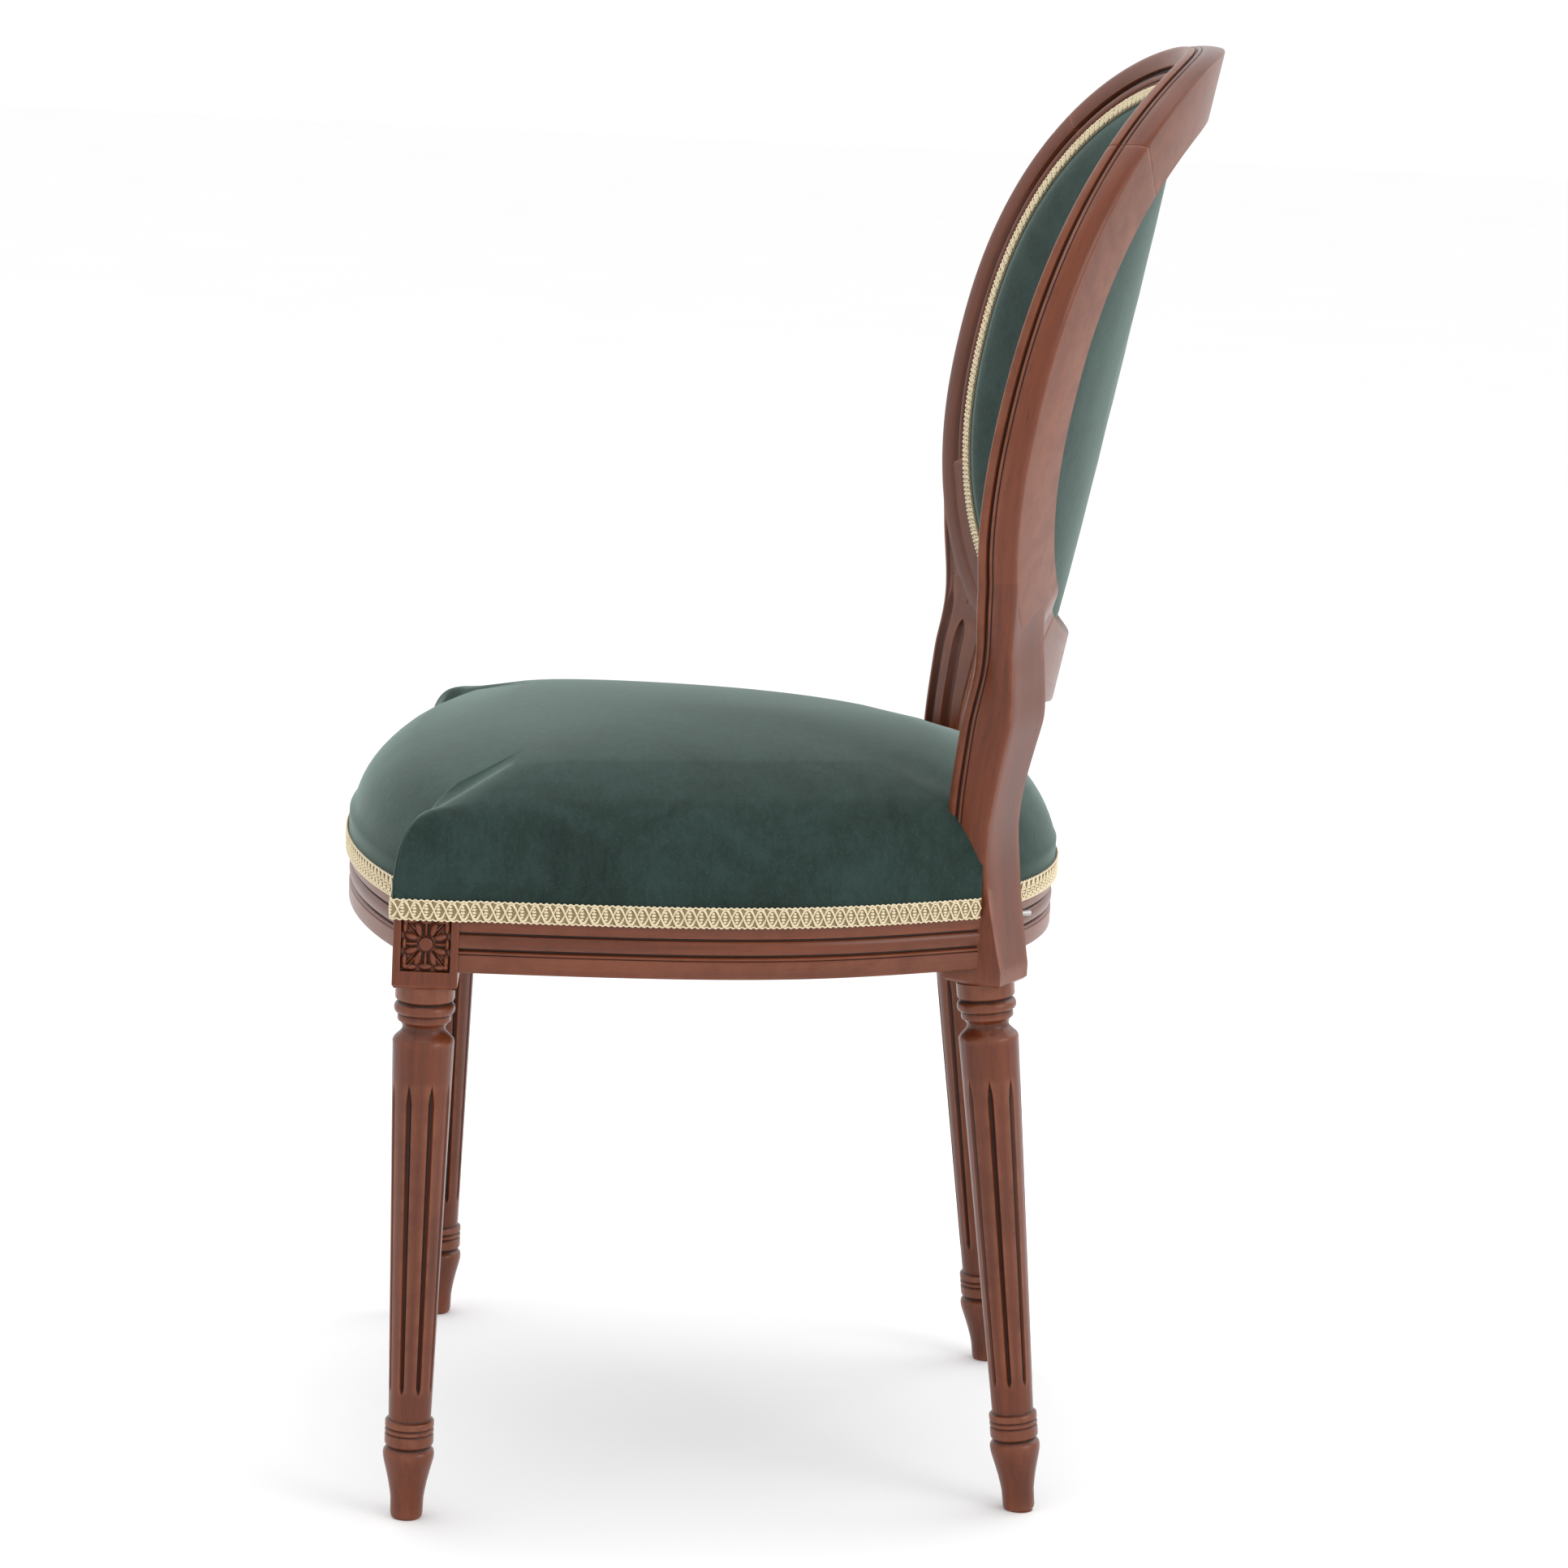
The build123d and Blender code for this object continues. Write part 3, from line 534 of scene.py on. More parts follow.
def turnedLegRings():
    heights = [h for h, _ in turned["profile"]]
    radii = [r for _, r in turned["profile"]]
    extra = list(np.linspace(326, 300, 14)) + list(np.linspace(296, 96, 34)) + list(np.linspace(94, 72, 14))
    everyHeight = sorted(set(heights + [round(h, 3) for h in extra]), reverse=True)
    sector = 2 * math.pi / turned["flutes"]
    grooveSteps = np.array((-1, -0.9, -0.62, -0.3, 0, 0.3, 0.62, 0.9, 1))
    rings = []
    for h in everyHeight:
        radius = float(np.interp(-h, [-x for x in heights], radii))
        share = (radius - 14.2) / 6.2
        half = turned["fluteHalf"] * (0.78 + 0.22 * share)
        topFade = np.clip((turned["fluteTop"] - h) / 11.0, 0, 1)
        footFade = np.clip((h - turned["fluteFoot"]) / 5.0, 0, 1)
        narrow = min(topFade**0.8, math.sqrt(footFade))
        depth = turned["fluteDepth"] * min(topFade**0.6, math.sqrt(footFade))
        spread = half * max(narrow, 0.12) / radius
        ring = []
        for k in range(turned["flutes"]):
            middle = (k + 0.5) * sector
            for u in grooveSteps:
                cut = depth * (1 - abs(u) ** 2.2) if abs(u) < 1 else 0
                ring.append((middle + spread * u, radius - cut))
            gap = sector - 2 * spread
            for part in (0.28, 0.5, 0.72):
                ring.append((middle + spread + gap * part, radius))
        rings.append([(r * math.cos(a), r * math.sin(a), h) for a, r in ring])
    return np.array(rings)


legRings = turnedLegRings()


def placedLeg(hip, foot, across):
    # stands the turned leg between two points, turned so that its first side faces across
    run = np.array(hip, float) - np.array(foot, float)
    length = np.linalg.norm(run)
    up = run / length
    side = np.array(across, float) - up * np.dot(across, up)
    side /= np.linalg.norm(side)
    other = np.cross(up, side)
    local = legRings * np.array((1, 1, length / legHeight))
    world = np.array(foot) + local[..., 0:1] * side + local[..., 1:2] * other + local[..., 2:3] * up
    world[..., 2] = np.maximum(world[..., 2], 0)
    return world


carving = {"width": 32.5, "height": 36.5, "depth": 2.7, "step": 0.46, "round": 1.1}


def lobe(u, v, cu, cv, tilt, long, wide, top, power=2.0):
    c, s = math.cos(math.radians(tilt)), math.sin(math.radians(tilt))
    a = ((u - cu) * c + (v - cv) * s) / long
    b = (-(u - cu) * s + (v - cv) * c) / wide
    return top - 2.6 * np.maximum(np.abs(a), 0) ** power * 0.9 - 2.6 * np.abs(b) ** power * 0.9


def cutLine(u, v, start, end, wide, deep):
    # depth of a tapered gouge cut between two places
    dx, dy = end[0] - start[0], end[1] - start[1]
    t = np.clip(((u - start[0]) * dx + (v - start[1]) * dy) / (dx * dx + dy * dy), 0, 1)
    away = np.hypot(u - start[0] - t * dx, v - start[1] - t * dy)
    width = wide * (0.45 + 0.55 * np.sin(math.pi * np.clip(t, 0.12, 0.88)))
    return deep * np.clip(1 - away / width, 0, 1) ** 0.7


def rosetteDepth(u, v):
    inside = (np.abs(u) < carving["width"] / 2) & (np.abs(v) < carving["height"] / 2)
    relief = np.full(np.shape(u), -carving["depth"])
    for sign in (1, -1):
        for lean in (1, -1):
            leaf = lobe(u, v, lean * 4.9, sign * 9.6, 90 - lean * sign * 14, 5.4, 2.7, -0.25)
            relief = np.maximum(relief, leaf)
            relief = np.maximum(relief, lobe(u, v, sign * 9.6, lean * 4.7, lean * sign * 16, 4.6, 2.6, -0.3))
        relief = np.maximum(relief, lobe(u, v, 0, sign * 10.5, 90, 6.5, 1.25, -0.5))
        relief = np.maximum(relief, lobe(u, v, sign * 10.0, 0, 0, 5.2, 1.2, -0.6))
        relief = np.maximum(relief, lobe(u, v, 0, sign * 15.2, 0, 4.6, 2.5, -0.4))
        relief = np.maximum(relief, lobe(u, v, sign * 14.1, 0, 90, 4.0, 1.9, -0.4))
    for sx in (1, -1):
        for sy in (1, -1):
            relief = np.maximum(relief, lobe(u, v, sx * 13.8, sy * 11.2, 90, 4.6, 2.1, -0.35))
            relief = np.maximum(relief, lobe(u, v, sx * 9.6, sy * 15.6, 0, 4.2, 2.2, -0.35))
            relief = np.maximum(relief, lobe(u, v, sx * 13.0, sy * 14.8, 45, 3.2, 2.8, -0.3))
            relief = np.maximum(relief, lobe(u, v, sx * 9.0, sy * 10.4, sx * sy * 49, 6.6, 1.9, -0.7))
    for sx in (1, -1):
        for sy in (1, -1):
            relief -= cutLine(u, v, (sx * 12.0, sy * 13.8), (sx * 4.7, sy * 5.0), 0.95, 2.2)
    for sign in (1, -1):
        for lean in (1, -1):
            relief -= cutLine(u, v, (lean * 1.75, sign * 5.8), (lean * 1.9, sign * 12.6), 0.85, 2.0)
            relief -= cutLine(u, v, (sign * 5.8, lean * 1.7), (sign * 11.6, lean * 1.9), 0.8, 1.8)
    relief = np.maximum(relief, -carving["depth"] - 0.5)
    away = np.hypot(u, v)
    relief = np.where(away < 5.6, np.minimum(relief, -2.4), relief)
    relief = np.where(away < 4.7, -0.15 - 1.1 * (away / 4.7) ** 6 + 0.2 * (1 - away / 4.7), relief)
    relief = np.minimum(relief, 0)
    return np.where(inside, relief, 0.0)


def carvedBlock():
    half, corner = blockHalf, carving["round"]
    low, high = legHeight, railTop - 0.4
    fine = np.linspace(-half + corner, half - corner, int((2 * half) / carving["step"]))
    coarse = np.linspace(-half + corner, half - corner, 6)
    heights = [low] + list(np.linspace(low + 2, high, int((high - low) / carving["step"])))
    panelMiddle = (railBottom + railTop) / 2 - 6.0
    # outer side (+X), front (-Y), inner side (-X), rear (+Y): clockwise from the rear, seen from above
    spots, normals, carved, sideways = [], [], [], []
    for normal, along, detail in (
        ((1, 0), (0, -1), True), ((0, -1), (-1, 0), True), ((-1, 0), (0, 1), False), ((0, 1), (1, 0), False),
    ):
        for t in fine if detail else coarse:
            spots.append((normal[0] * half + along[0] * t, normal[1] * half + along[1] * t))
            normals.append(normal)
            carved.append(detail)
            sideways.append(t)
        for angle in (0.4, 0.79, 1.17):
            c, s = math.cos(angle), math.sin(angle)
            centre = ((normal[0] + along[0]) * (half - corner), (normal[1] + along[1]) * (half - corner))
            direction = (normal[0] * c + along[0] * s, normal[1] * c + along[1] * s)
            spots.append((centre[0] + direction[0] * corner, centre[1] + direction[1] * corner))
            normals.append(direction)
            carved.append(False)
            sideways.append(99)
    spots, normals = np.array(spots), np.array(normals)
    carved, sideways = np.array(carved), np.array(sideways)
    rings = []
    for h in heights:
        shrink = 2.0 if h == low else 0.0
        depth = np.where(carved, rosetteDepth(sideways, np.full(len(sideways), h - panelMiddle)), 0.0)
        place = spots + normals * (depth - shrink)[:, None]
        rings.append(np.column_stack([place, np.full(len(place), h)]))
    return np.array(rings)


blockRings = carvedBlock()


def frontLegPiece(name, side):
    hip = (frontLegX, frontLegY, legHeight)
    foot = np.array((frontLegX, frontLegY, 0))
    shape = joined([skin(placedLeg(hip, foot, (1, 0, 0))), skin(blockRings + foot)])
    if side < 0:
        shape = mirroredShape(shape)
    grain = shape[0] + np.array((40 * side, 0, 300 * side))
    finishWood(name, [shape], [grain], "front_leg_left" if side > 0 else "front_leg_right")


frontLegPiece("frontLegLeft", 1)
frontLegPiece("frontLegRight", -1)
print("front legs made")

# (inset from the outer wall, depth behind the front), once round the section
ovalSection = [
    (1.9, 27.5), (0.8, 27.2), (0.2, 26.4), (-0.2, 24.6), (-0.55, 21.0), (-0.6, 17.0), (-0.35, 13.6),
    (0.05, 12.3), (0.75, 11.9), (0.85, 11.4), (0.3, 10.9), (0.1, 10.1), (0.5, 9.3), (1.2, 9.0),
    (2.2, 8.8), (2.6, 8.2), (2.5, 7.4), (1.6, 6.9), (0.8, 6.5), (0.5, 5.2), (0.6, 3.2), (1.2, 1.6),
    (2.4, 0.5), (4.3, 0.0), (8.0, -0.1), (11.5, 0.15), (13.2, 0.6), (14.0, 1.4), (14.3, 3.6),
    (14.9, 5.0), (16.2, 5.3), (16.9, 4.6), (17.2, 2.9), (18.0, 1.9), (19.2, 1.6), (20.4, 1.9),
    (21.2, 2.6), (21.7, 3.4), (22.9, 3.7), (23.5, 4.2), (24.4, 6.4), (25.0, 7.4), (47.0, 7.6),
    (47.0, 26.9), (46.4, 27.5),
]
ovalFrame = {
    "outerPoints": 24,  # how many of the section's points lie on its outer side
    "lowerRailDepth": 19.0, "thinFrom": 44, "thinTo": 57,
    # joints in degrees from the sitter's left, the gap beside each as an angle, and the chamfer there
    "crestJoint": 46, "lowerJoint": -58, "jointGap": 0.0011, "jointChamfer": 0.12,
    "kept": 12.5,  # depth in front of which the section never changes
}


def thinned(section, angle):
    # the frame gets thinner at the back towards the lower rail
    below = math.degrees(math.atan2(abs(math.sin(angle)), abs(math.cos(angle)))) if math.sin(angle) < 0 else 0
    less = float(smoothStep(ovalFrame["thinFrom"], ovalFrame["thinTo"], below))
    depth = back["depth"] - (back["depth"] - ovalFrame["lowerRailDepth"]) * less
    section, kept = section.copy(), ovalFrame["kept"]
    far = section[:, 1] > kept
    section[far, 1] = kept + (section[far, 1] - kept) * (depth - kept) / (back["depth"] - kept)
    return section


def ovalSweep(start, end, steps):
    # a stretch of the oval frame between two angles, with fine chamfers at the joints
    section = np.array(ovalSection)
    middle = section.mean(axis=0)
    run = np.linspace(start, end, steps)
    gap, chamfer = ovalFrame["jointGap"], ovalFrame["jointChamfer"]
    angles = np.concatenate([[run[0] + gap, run[0] + 3 * gap], run[1:-1], [run[-1] - 3 * gap, run[-1] - gap]])
    rings, places = [], []
    along = 0.0
    previous = None
    for k, angle in enumerate(angles):
        shape = thinned(section, angle)
        if k in (0, len(angles) - 1):
            shape = shape + np.clip(middle - shape, -chamfer, chamfer)
        x, z = ovalPoint(angle, shape[:, 0])
        y = backFront(x, z) + shape[:, 1]
        ring = np.column_stack([x, y, z])
        if previous is not None:
            along += np.linalg.norm(ring.mean(axis=0) - previous)
        previous = ring.mean(axis=0)
        rings.append(ring)
        far = np.full(len(shape), along + 400 * start)
        places.append(np.column_stack([shape[:, 0] + 37 * start, shape[:, 1], far]))
    return np.array(rings), np.array(places)


crestJoint = math.radians(ovalFrame["crestJoint"])
lowerJoint = math.radians(ovalFrame["lowerJoint"])
crestRings, crestPlaces = ovalSweep(crestJoint, math.pi - crestJoint, 90)
finishWood("crestRail", [skin(crestRings)], [grainFor(crestRings, crestPlaces)], "crest_rail")
lowRings, lowPlaces = ovalSweep(math.pi - lowerJoint, 2 * math.pi + lowerJoint, 64)
finishWood("lowerBackRail", [skin(lowRings)], [grainFor(lowRings, lowPlaces)], "lower_back_rail")
print("oval rails made")

post = {
    # height where the post runs into the oval, the slope there and how soon it straightens
    "meets": 652.0, "lean": 0.498, "bend": 0.0032, "straight": 77.0,
    # heights over which it grows, moves back into the frame, takes the oval's outline, and is eased
    "growth": (470, 600), "sink": (540, 602), "merge": (556, 630), "ease": (568, 590), "easeReach": 13.0,
    # what it grows by: sway inward, sway forward, width, depth; then how far the back swells out, and where
    "grows": (3.0, 1.2, 6.0, 8.0), "swell": 3.5, "swellAt": 576, "swellReach": 19,
    # share of the rise, sway inward, sway forward, width, depth
    "stations": [
        (0.00, 0.0, 0.0, 43.0, 43.0), (0.17, 4.6, 8.2, 50.0, 34.0), (0.27, 6.3, 12.0, 52.0, 31.5),
        (0.43, 4.8, 12.4, 47.0, 33.0), (0.59, 6.9, 8.5, 49.0, 33.0), (0.73, 8.0, 3.9, 51.0, 32.0),
        (0.87, 5.4, 0.8, 48.0, 29.0), (1.00, 0.0, 0.0, 40.0, 25.0),
    ],
    "outerFluteTop": 583.0, "innerFluteTop": 566.0, "fluteFoot": 452.0, "fluteDepth": 3.2,
}


def postSection(width, depth, z):
    # each point: (outwards, backwards, inset in the oval, depth in the oval)
    w, d = width / 2, depth / 2
    detail = float(smoothStep(425, 446, z))
    line = []

    def flute(centre, half, top):
        rise = np.clip((top - z) / 16.0, 0, 1)
        foot = np.clip((z - post["fluteFoot"]) / 12.0, 0, 1)
        share = min(math.sqrt(1 - (1 - rise) ** 2), math.sqrt(foot))
        for u in (-1, -0.93, -0.75, -0.5, -0.25, 0, 0.25, 0.5, 0.75, 0.93, 1):
            cut = post["fluteDepth"] * share * (1 - abs(u) ** 2.4)
            across = centre + half * max(share, 0.1) * u
            line.append((across, -d + cut, w - across, 1.6 + cut))

    line.append((-w + 0.9, -d, 2 * w - 0.9, 1.6))
    line.append((-w + 2.5, -d, 2 * w - 2.5, 1.6))
    flute(w - 30.2 + 0.1 * (50 - width), 6.3, post["innerFluteTop"])
    line.append((w - 19.5, -d, 19.5, 1.6))
    flute(w - 9.9, 4.7, post["outerFluteTop"])
    line.append((w - 4.7, -d, 4.7, 1.6))
    kept = ovalFrame["kept"]
    for inset, behind in ovalSection[ovalFrame["outerPoints"] - 1::-1]:
        near = min(behind, kept)
        far = max(behind - kept, 0) * (2 * d - kept) / (back["depth"] - kept)
        line.append((w - inset * detail, -d + near + far, inset + 0.35, behind))
    for share in (0.15, 0.5, 0.85):
        line.append((w - 2 * w * share, d, 1.5 + 42 * share, 27.0))
    line += [(-w + 1.2, d, 43.5, 27.0), (-w, d - 1.2, 44, 25.5), (-w, d * 0.5, 44, 20), (-w, 0, 44, 14)]
    line += [(-w, -d * 0.5, 44, 8), (-w, -d + 1.2, 44, 2.8)]
    return np.array(line)


def ovalAngleAt(z):
    share = min(max((ovalZ - z) / ovalHalfHeight, 0), 1)
    return -math.asin(share ** (back["power"] / 2))


def postRings():
    entryX, entryZ = ovalPoint(math.radians(-39), back["width"] / 2)
    entryY = backFront(entryX, entryZ) + back["depth"] / 2
    offset = np.array((entryX - rearLeg["x"], entryY - rearLeg["y"], 0))
    entryOut, entryBack = offset.dot(outward), offset.dot(backward)
    rise = entryZ - railBottom
    table = np.array(post["stations"])
    rings, places = [], []
    heights = [railBottom - 11.0, railBottom - 9.0]
    heights += list(np.linspace(railBottom, 546, 50)) + list(np.linspace(548, 668, 60))
    moreSway, moreAhead, moreWidth, moreDepth = post["grows"]
    for z in heights:
        share = min(max((z - railBottom) / rise, 0), 1)
        columns = [smoothCurve(table[:, 0], table[:, k], share) for k in (1, 2, 3, 4)]
        sway, ahead, width, depth = [float(column[0]) for column in columns]
        # broader and deeper where it runs into the oval
        grown = float(smoothStep(*post["growth"], z))
        sway = sway + moreSway * grown
        ahead = ahead + moreAhead * grown + 1.2 * float(smoothStep(440, 480, z))
        width, depth = width + moreWidth * grown, depth + moreDepth * grown
        shrink = 2.0 if z == heights[0] else 0.0
        section = postSection(width - 2 * shrink, depth - 2 * shrink, z)
        out = entryOut * share - sway
        behind = entryBack * share - ahead
        ring = np.array([rearPoint(out + p[0], behind + p[1], z) for p in section])
        merge = float(smoothStep(*post["merge"], z))
        sink = float(smoothStep(*post["sink"], z))
        swell = post["swell"] * math.exp(-(((z - post["swellAt"]) / post["swellReach"]) ** 2))
        depths = section[:, 3] + swell * (section[:, 3] > 22)
        ring[:, 1] = ring[:, 1] * (1 - sink) + (backFront(ring[:, 0], ring[:, 2]) + depths) * sink
        # below the meeting height the outer side leaves the oval along its tangent
        drop = min(max(post["meets"] - z, 0), post["straight"])
        x, high = ovalPoint(ovalAngleAt(max(z, post["meets"])), np.minimum(section[:, 2], 44))
        x = x - post["lean"] * drop + post["bend"] * drop ** 2
        high = high - max(post["meets"] - z, 0)
        inFrame = np.column_stack([x, backFront(x, high) + depths, high])
        ring = ring * (1 - merge) + inFrame * merge
        rings.append(ring)
        places.append(np.column_stack([section[:, :2], np.full(len(section), z)]))
    heights, rings = np.array(heights), np.array(rings)
    # the bend into the oval is eased over a few rings
    for number in np.nonzero(heights > post["ease"][0])[0][:-1]:
        reach = post["easeReach"] * float(smoothStep(*post["ease"], heights[number]))
        weight = np.exp(-((heights - heights[number]) / max(reach, 0.5)) ** 2)
        eased = np.tensordot(weight / weight.sum(), rings, 1)
        rings[number, :, :2] = 0.5 * rings[number, :, :2] + 0.5 * eased[:, :2]
    # the post's front lies just under the oval's raised band where they cross
    for ring in rings:
        inside = (np.abs(ring[:, 0]) / ovalHalfWidth) ** back["power"]
        inside += (np.abs(ring[:, 2] - ovalZ) / ovalHalfHeight) ** back["power"]
        lowest = backFront(ring[:, 0], ring[:, 2]) + 0.5
        ring[:, 1] = np.where(inside < 0.995, np.maximum(ring[:, 1], lowest), ring[:, 1])
    return rings, np.array(places)


def rearLegPiece(name, side):
    hip = (rearLeg["x"], rearLeg["y"], legHeight)
    foot = (rearLeg["x"] + rearLeg["footOut"], rearLeg["y"] + rearLeg["footBack"], 0)
    leg = placedLeg(hip, foot, outward)
    stileRings, stilePlaces = ovalSweep(lowerJoint, crestJoint, 110)
    rings, places = postRings()
    parts = [skin(leg), skin(rings), skin(stileRings)]
    grains = [grainFor(leg, legRings), grainFor(rings, places), grainFor(stileRings, stilePlaces)]
    if side < 0:
        parts = [mirroredShape(p) for p in parts]
        grains = [g + np.array((90, 30, 500)) for g in grains]
    finishWood(name, parts, grains, "rear_leg_left" if side > 0 else "rear_leg_right")


rearLegPiece("rearLegLeft", 1)
rearLegPiece("rearLegRight", -1)
print("rear legs made")

rails = {
    "thickness": 30.0, "rearThickness": 19.0, "setback": 2.5, "bow": 64.0, "bowEnd": 12.0, "rearBow": 54.5,
    "height": 49.6,
    # (inset, height above the rail's bottom) of the moulded outer face
    "face": [
        (2.2, 0.0), (0.9, 0.3), (0.2, 1.0), (0.0, 1.9), (0.0, 11.8), (0.3, 12.3), (0.8, 12.6),
        (0.5, 12.9), (0.2, 13.6), (0.3, 14.3), (0.9, 14.8), (1.7, 15.2), (2.3, 15.6), (2.4, 16.2),
        (1.5, 16.6), (0.6, 17.0), (0.05, 18.4), (-0.2, 20.5), (-0.15, 22.6), (0.3, 24.4), (0.9, 25.5),
        (1.6, 26.0), (2.4, 26.3), (2.4, 27.0), (1.5, 27.5), (0.7, 27.8), (0.5, 28.6), (0.5, 35.5),
        (0.5, 49.6),
    ],
}


def archedLine(start, apex, steps):
    # circular arc from start over the apex, on the middle line, to the mirror image of start
    half = abs(start[0])
    drop = apex[1] - start[1]
    radius = (half * half + drop * drop) / (2 * abs(drop))
    centreY = apex[1] - math.copysign(radius, drop)
    reach = math.asin(half / radius)
    angles = np.linspace(reach, -reach, steps) * (1 if start[0] > 0 else -1)
    across = centreY + math.copysign(1, drop) * radius * np.cos(angles)
    return np.column_stack([radius * np.sin(angles), across])


def sideCurve(outset, steps):
    start = np.array((frontLegX + blockHalf - rails["setback"] + outset, frontLegY))
    end = rearPoint(blockHalf + outset, 4.0)[:2]
    run = end - start
    points = np.array([start, start + run * (0.05, 0.33), start + run * (0.34, 0.70), end])
    far = np.concatenate([[0], np.cumsum(np.linalg.norm(np.diff(points, axis=0), axis=1))])
    t = np.linspace(0, far[-1], steps)
    return np.column_stack([smoothCurve(far, points[:, 0], t), smoothCurve(far, points[:, 1], t)])


def frontCurve(outset, steps):
    y = frontLegY - rails["bowEnd"] - outset
    return archedLine((212, y), (0, frontLegY - rails["bow"] - outset), steps)


def rearCurve(outset, steps):
    start = rearPoint(-blockHalf, -1.5 + outset)
    return archedLine(start[:2], (0, rearLeg["y"] + rails["rearBow"] + outset), steps)


def lengthened(line, atStart, atEnd):
    first = line[0] + (line[0] - line[1]) / np.linalg.norm(line[0] - line[1]) * atStart
    last = line[-1] + (line[-1] - line[-2]) / np.linalg.norm(line[-1] - line[-2]) * atEnd
    return np.vstack([first, line, last])


def planNormals(line, closed=False):
    step = np.gradient(line, axis=0) if not closed else np.roll(line, -1, 0) - np.roll(line, 1, 0)
    normal = np.column_stack([step[:, 1], -step[:, 0]])
    normal /= np.linalg.norm(normal, axis=1)[:, None]
    middle = np.array((0.0, -30.0))
    if np.einsum("ij,ij->i", normal, line - middle).sum() < 0:
        normal = -normal
    return normal


def railSweep(line, thickness, face):
    section = list(face) + [(thickness, rails["height"]), (thickness, 0.0)]
    normals = planNormals(line)
    far = np.concatenate([[0], np.cumsum(np.linalg.norm(np.diff(line, axis=0), axis=1))])
    rings, places = [], []
    for point, normal, along in zip(line, normals, far):
        rings.append([(*(point - normal * inset), railBottom + high) for inset, high in section])
        places.append([(inset, high, along) for inset, high in section])
    return np.array(rings), np.array(places)


frontRings, frontPlaces = railSweep(lengthened(frontCurve(0, 90), 4, 4), rails["thickness"], rails["face"])
finishWood("frontRail", [skin(frontRings)], [grainFor(frontRings, frontPlaces)], "front_rail")
rearRings, rearPlaces = railSweep(lengthened(rearCurve(0, 60), 6, 6), rails["rearThickness"], rails["face"])
finishWood("rearRail", [skin(rearRings)], [grainFor(rearRings, rearPlaces)], "rear_rail")
sideLine = lengthened(sideCurve(0, 100), 0, 5)
sideLine = sideLine[sideLine[:, 1] > frontLegY + 17]
sideRings, sidePlaces = railSweep(sideLine, rails["thickness"], rails["face"])
sideShape = skin(sideRings)
finishWood("sideRailLeft", [sideShape], [grainFor(sideRings, sidePlaces)], "side_rail_left")
sideGrain = grainFor(sideRings, sidePlaces) + 200
finishWood("sideRailRight", [mirroredShape(sideShape)], [sideGrain], "side_rail_right")
print("seat rails made")

cushion = {
    "outset": 1.3, "skirtLow": 417.0, "pleatDepth": 3.4, "middleY": -45.0,
    # the cloth is held below this height, and above it the air may move it by this much
    "heldBelow": 442.5, "puff": 2.0, "smoothing": 60,
    # height over the edge = rise * (1 - exp(-(distance / reach) ** power)) + a slow climb
    "edge": 432.0, "rise": 75.9, "reach": 25.0, "power": 0.568, "climb": 16.0, "evenness": 4.86,
    # how much fuller the cover stands at the two front corners, and how far that reaches
    "cornerLift": 13.0, "cornerReach": 34.0,
}


def chaikin(line, times, closed=False):
    for _ in range(times):
        nextOnes = np.roll(line, -1, 0) if closed else line[1:]
        base = line if closed else line[:-1]
        a = base * 0.75 + nextOnes * 0.25
        b = base * 0.25 + nextOnes * 0.75
        mixed = np.stack([a, b], 1).reshape(-1, line.shape[1])
        line = mixed if closed else np.vstack([line[0], mixed, line[-1]])
    return line


def spread(line, spacing):
    far = np.concatenate([[0], np.cumsum(np.linalg.norm(np.diff(line, axis=0), axis=1))])
    count = max(int(round(far[-1] / spacing)), 2)
    t = np.linspace(0, far[-1], count + 1)
    return np.column_stack([np.interp(t, far, line[:, k]) for k in range(line.shape[1])])


def frontEdgeHalf(outset):
    # left half of the seat's free edge, from the middle of the front to the left rear post
    bow = frontCurve(outset, 121)[::-1]
    bow = bow[bow[:, 0] >= 0]
    bow = bow[bow[:, 0] < frontLegX - blockHalf - outset - 4]
    inner, outer = frontLegX - blockHalf - outset, frontLegX + blockHalf + outset
    ahead, behind = frontLegY - blockHalf - outset, frontLegY + blockHalf + outset
    side = sideCurve(outset, 140)
    side = side[side[:, 1] > behind + 5]
    block = np.array([
        (inner - 0.6, frontLegY - rails["bowEnd"] - outset - 0.5), (inner, ahead + 1.2), (inner + 1.4, ahead),
        (outer - 3.0, ahead), (outer - 1.0, ahead + 0.4), (outer - 0.4, ahead + 1.0), (outer, ahead + 3.0),
        (outer, behind - 1.0), (outer - 1.0, behind + 0.4),
    ])
    return chaikin(np.vstack([bow, block, side]), 2)


def distanceTo(places, edge):
    return np.min(np.linalg.norm(places[:, None, :] - edge[None, :, :], axis=2), axis=1)


def crownHeight(places, edges):
    # the height is averaged over a small circle, wider further in, which rounds the ridges
    away = np.min([distanceTo(places, edge) for edge in edges], axis=0)
    spreadOut = np.clip(0.34 * away, 0, 15)[:, None]
    heights = 2 * crownAt(places, edges)
    for turn in np.arange(8) * math.pi / 4:
        heights = heights + crownAt(places + spreadOut * (math.cos(turn), math.sin(turn)), edges)
    return heights / 10


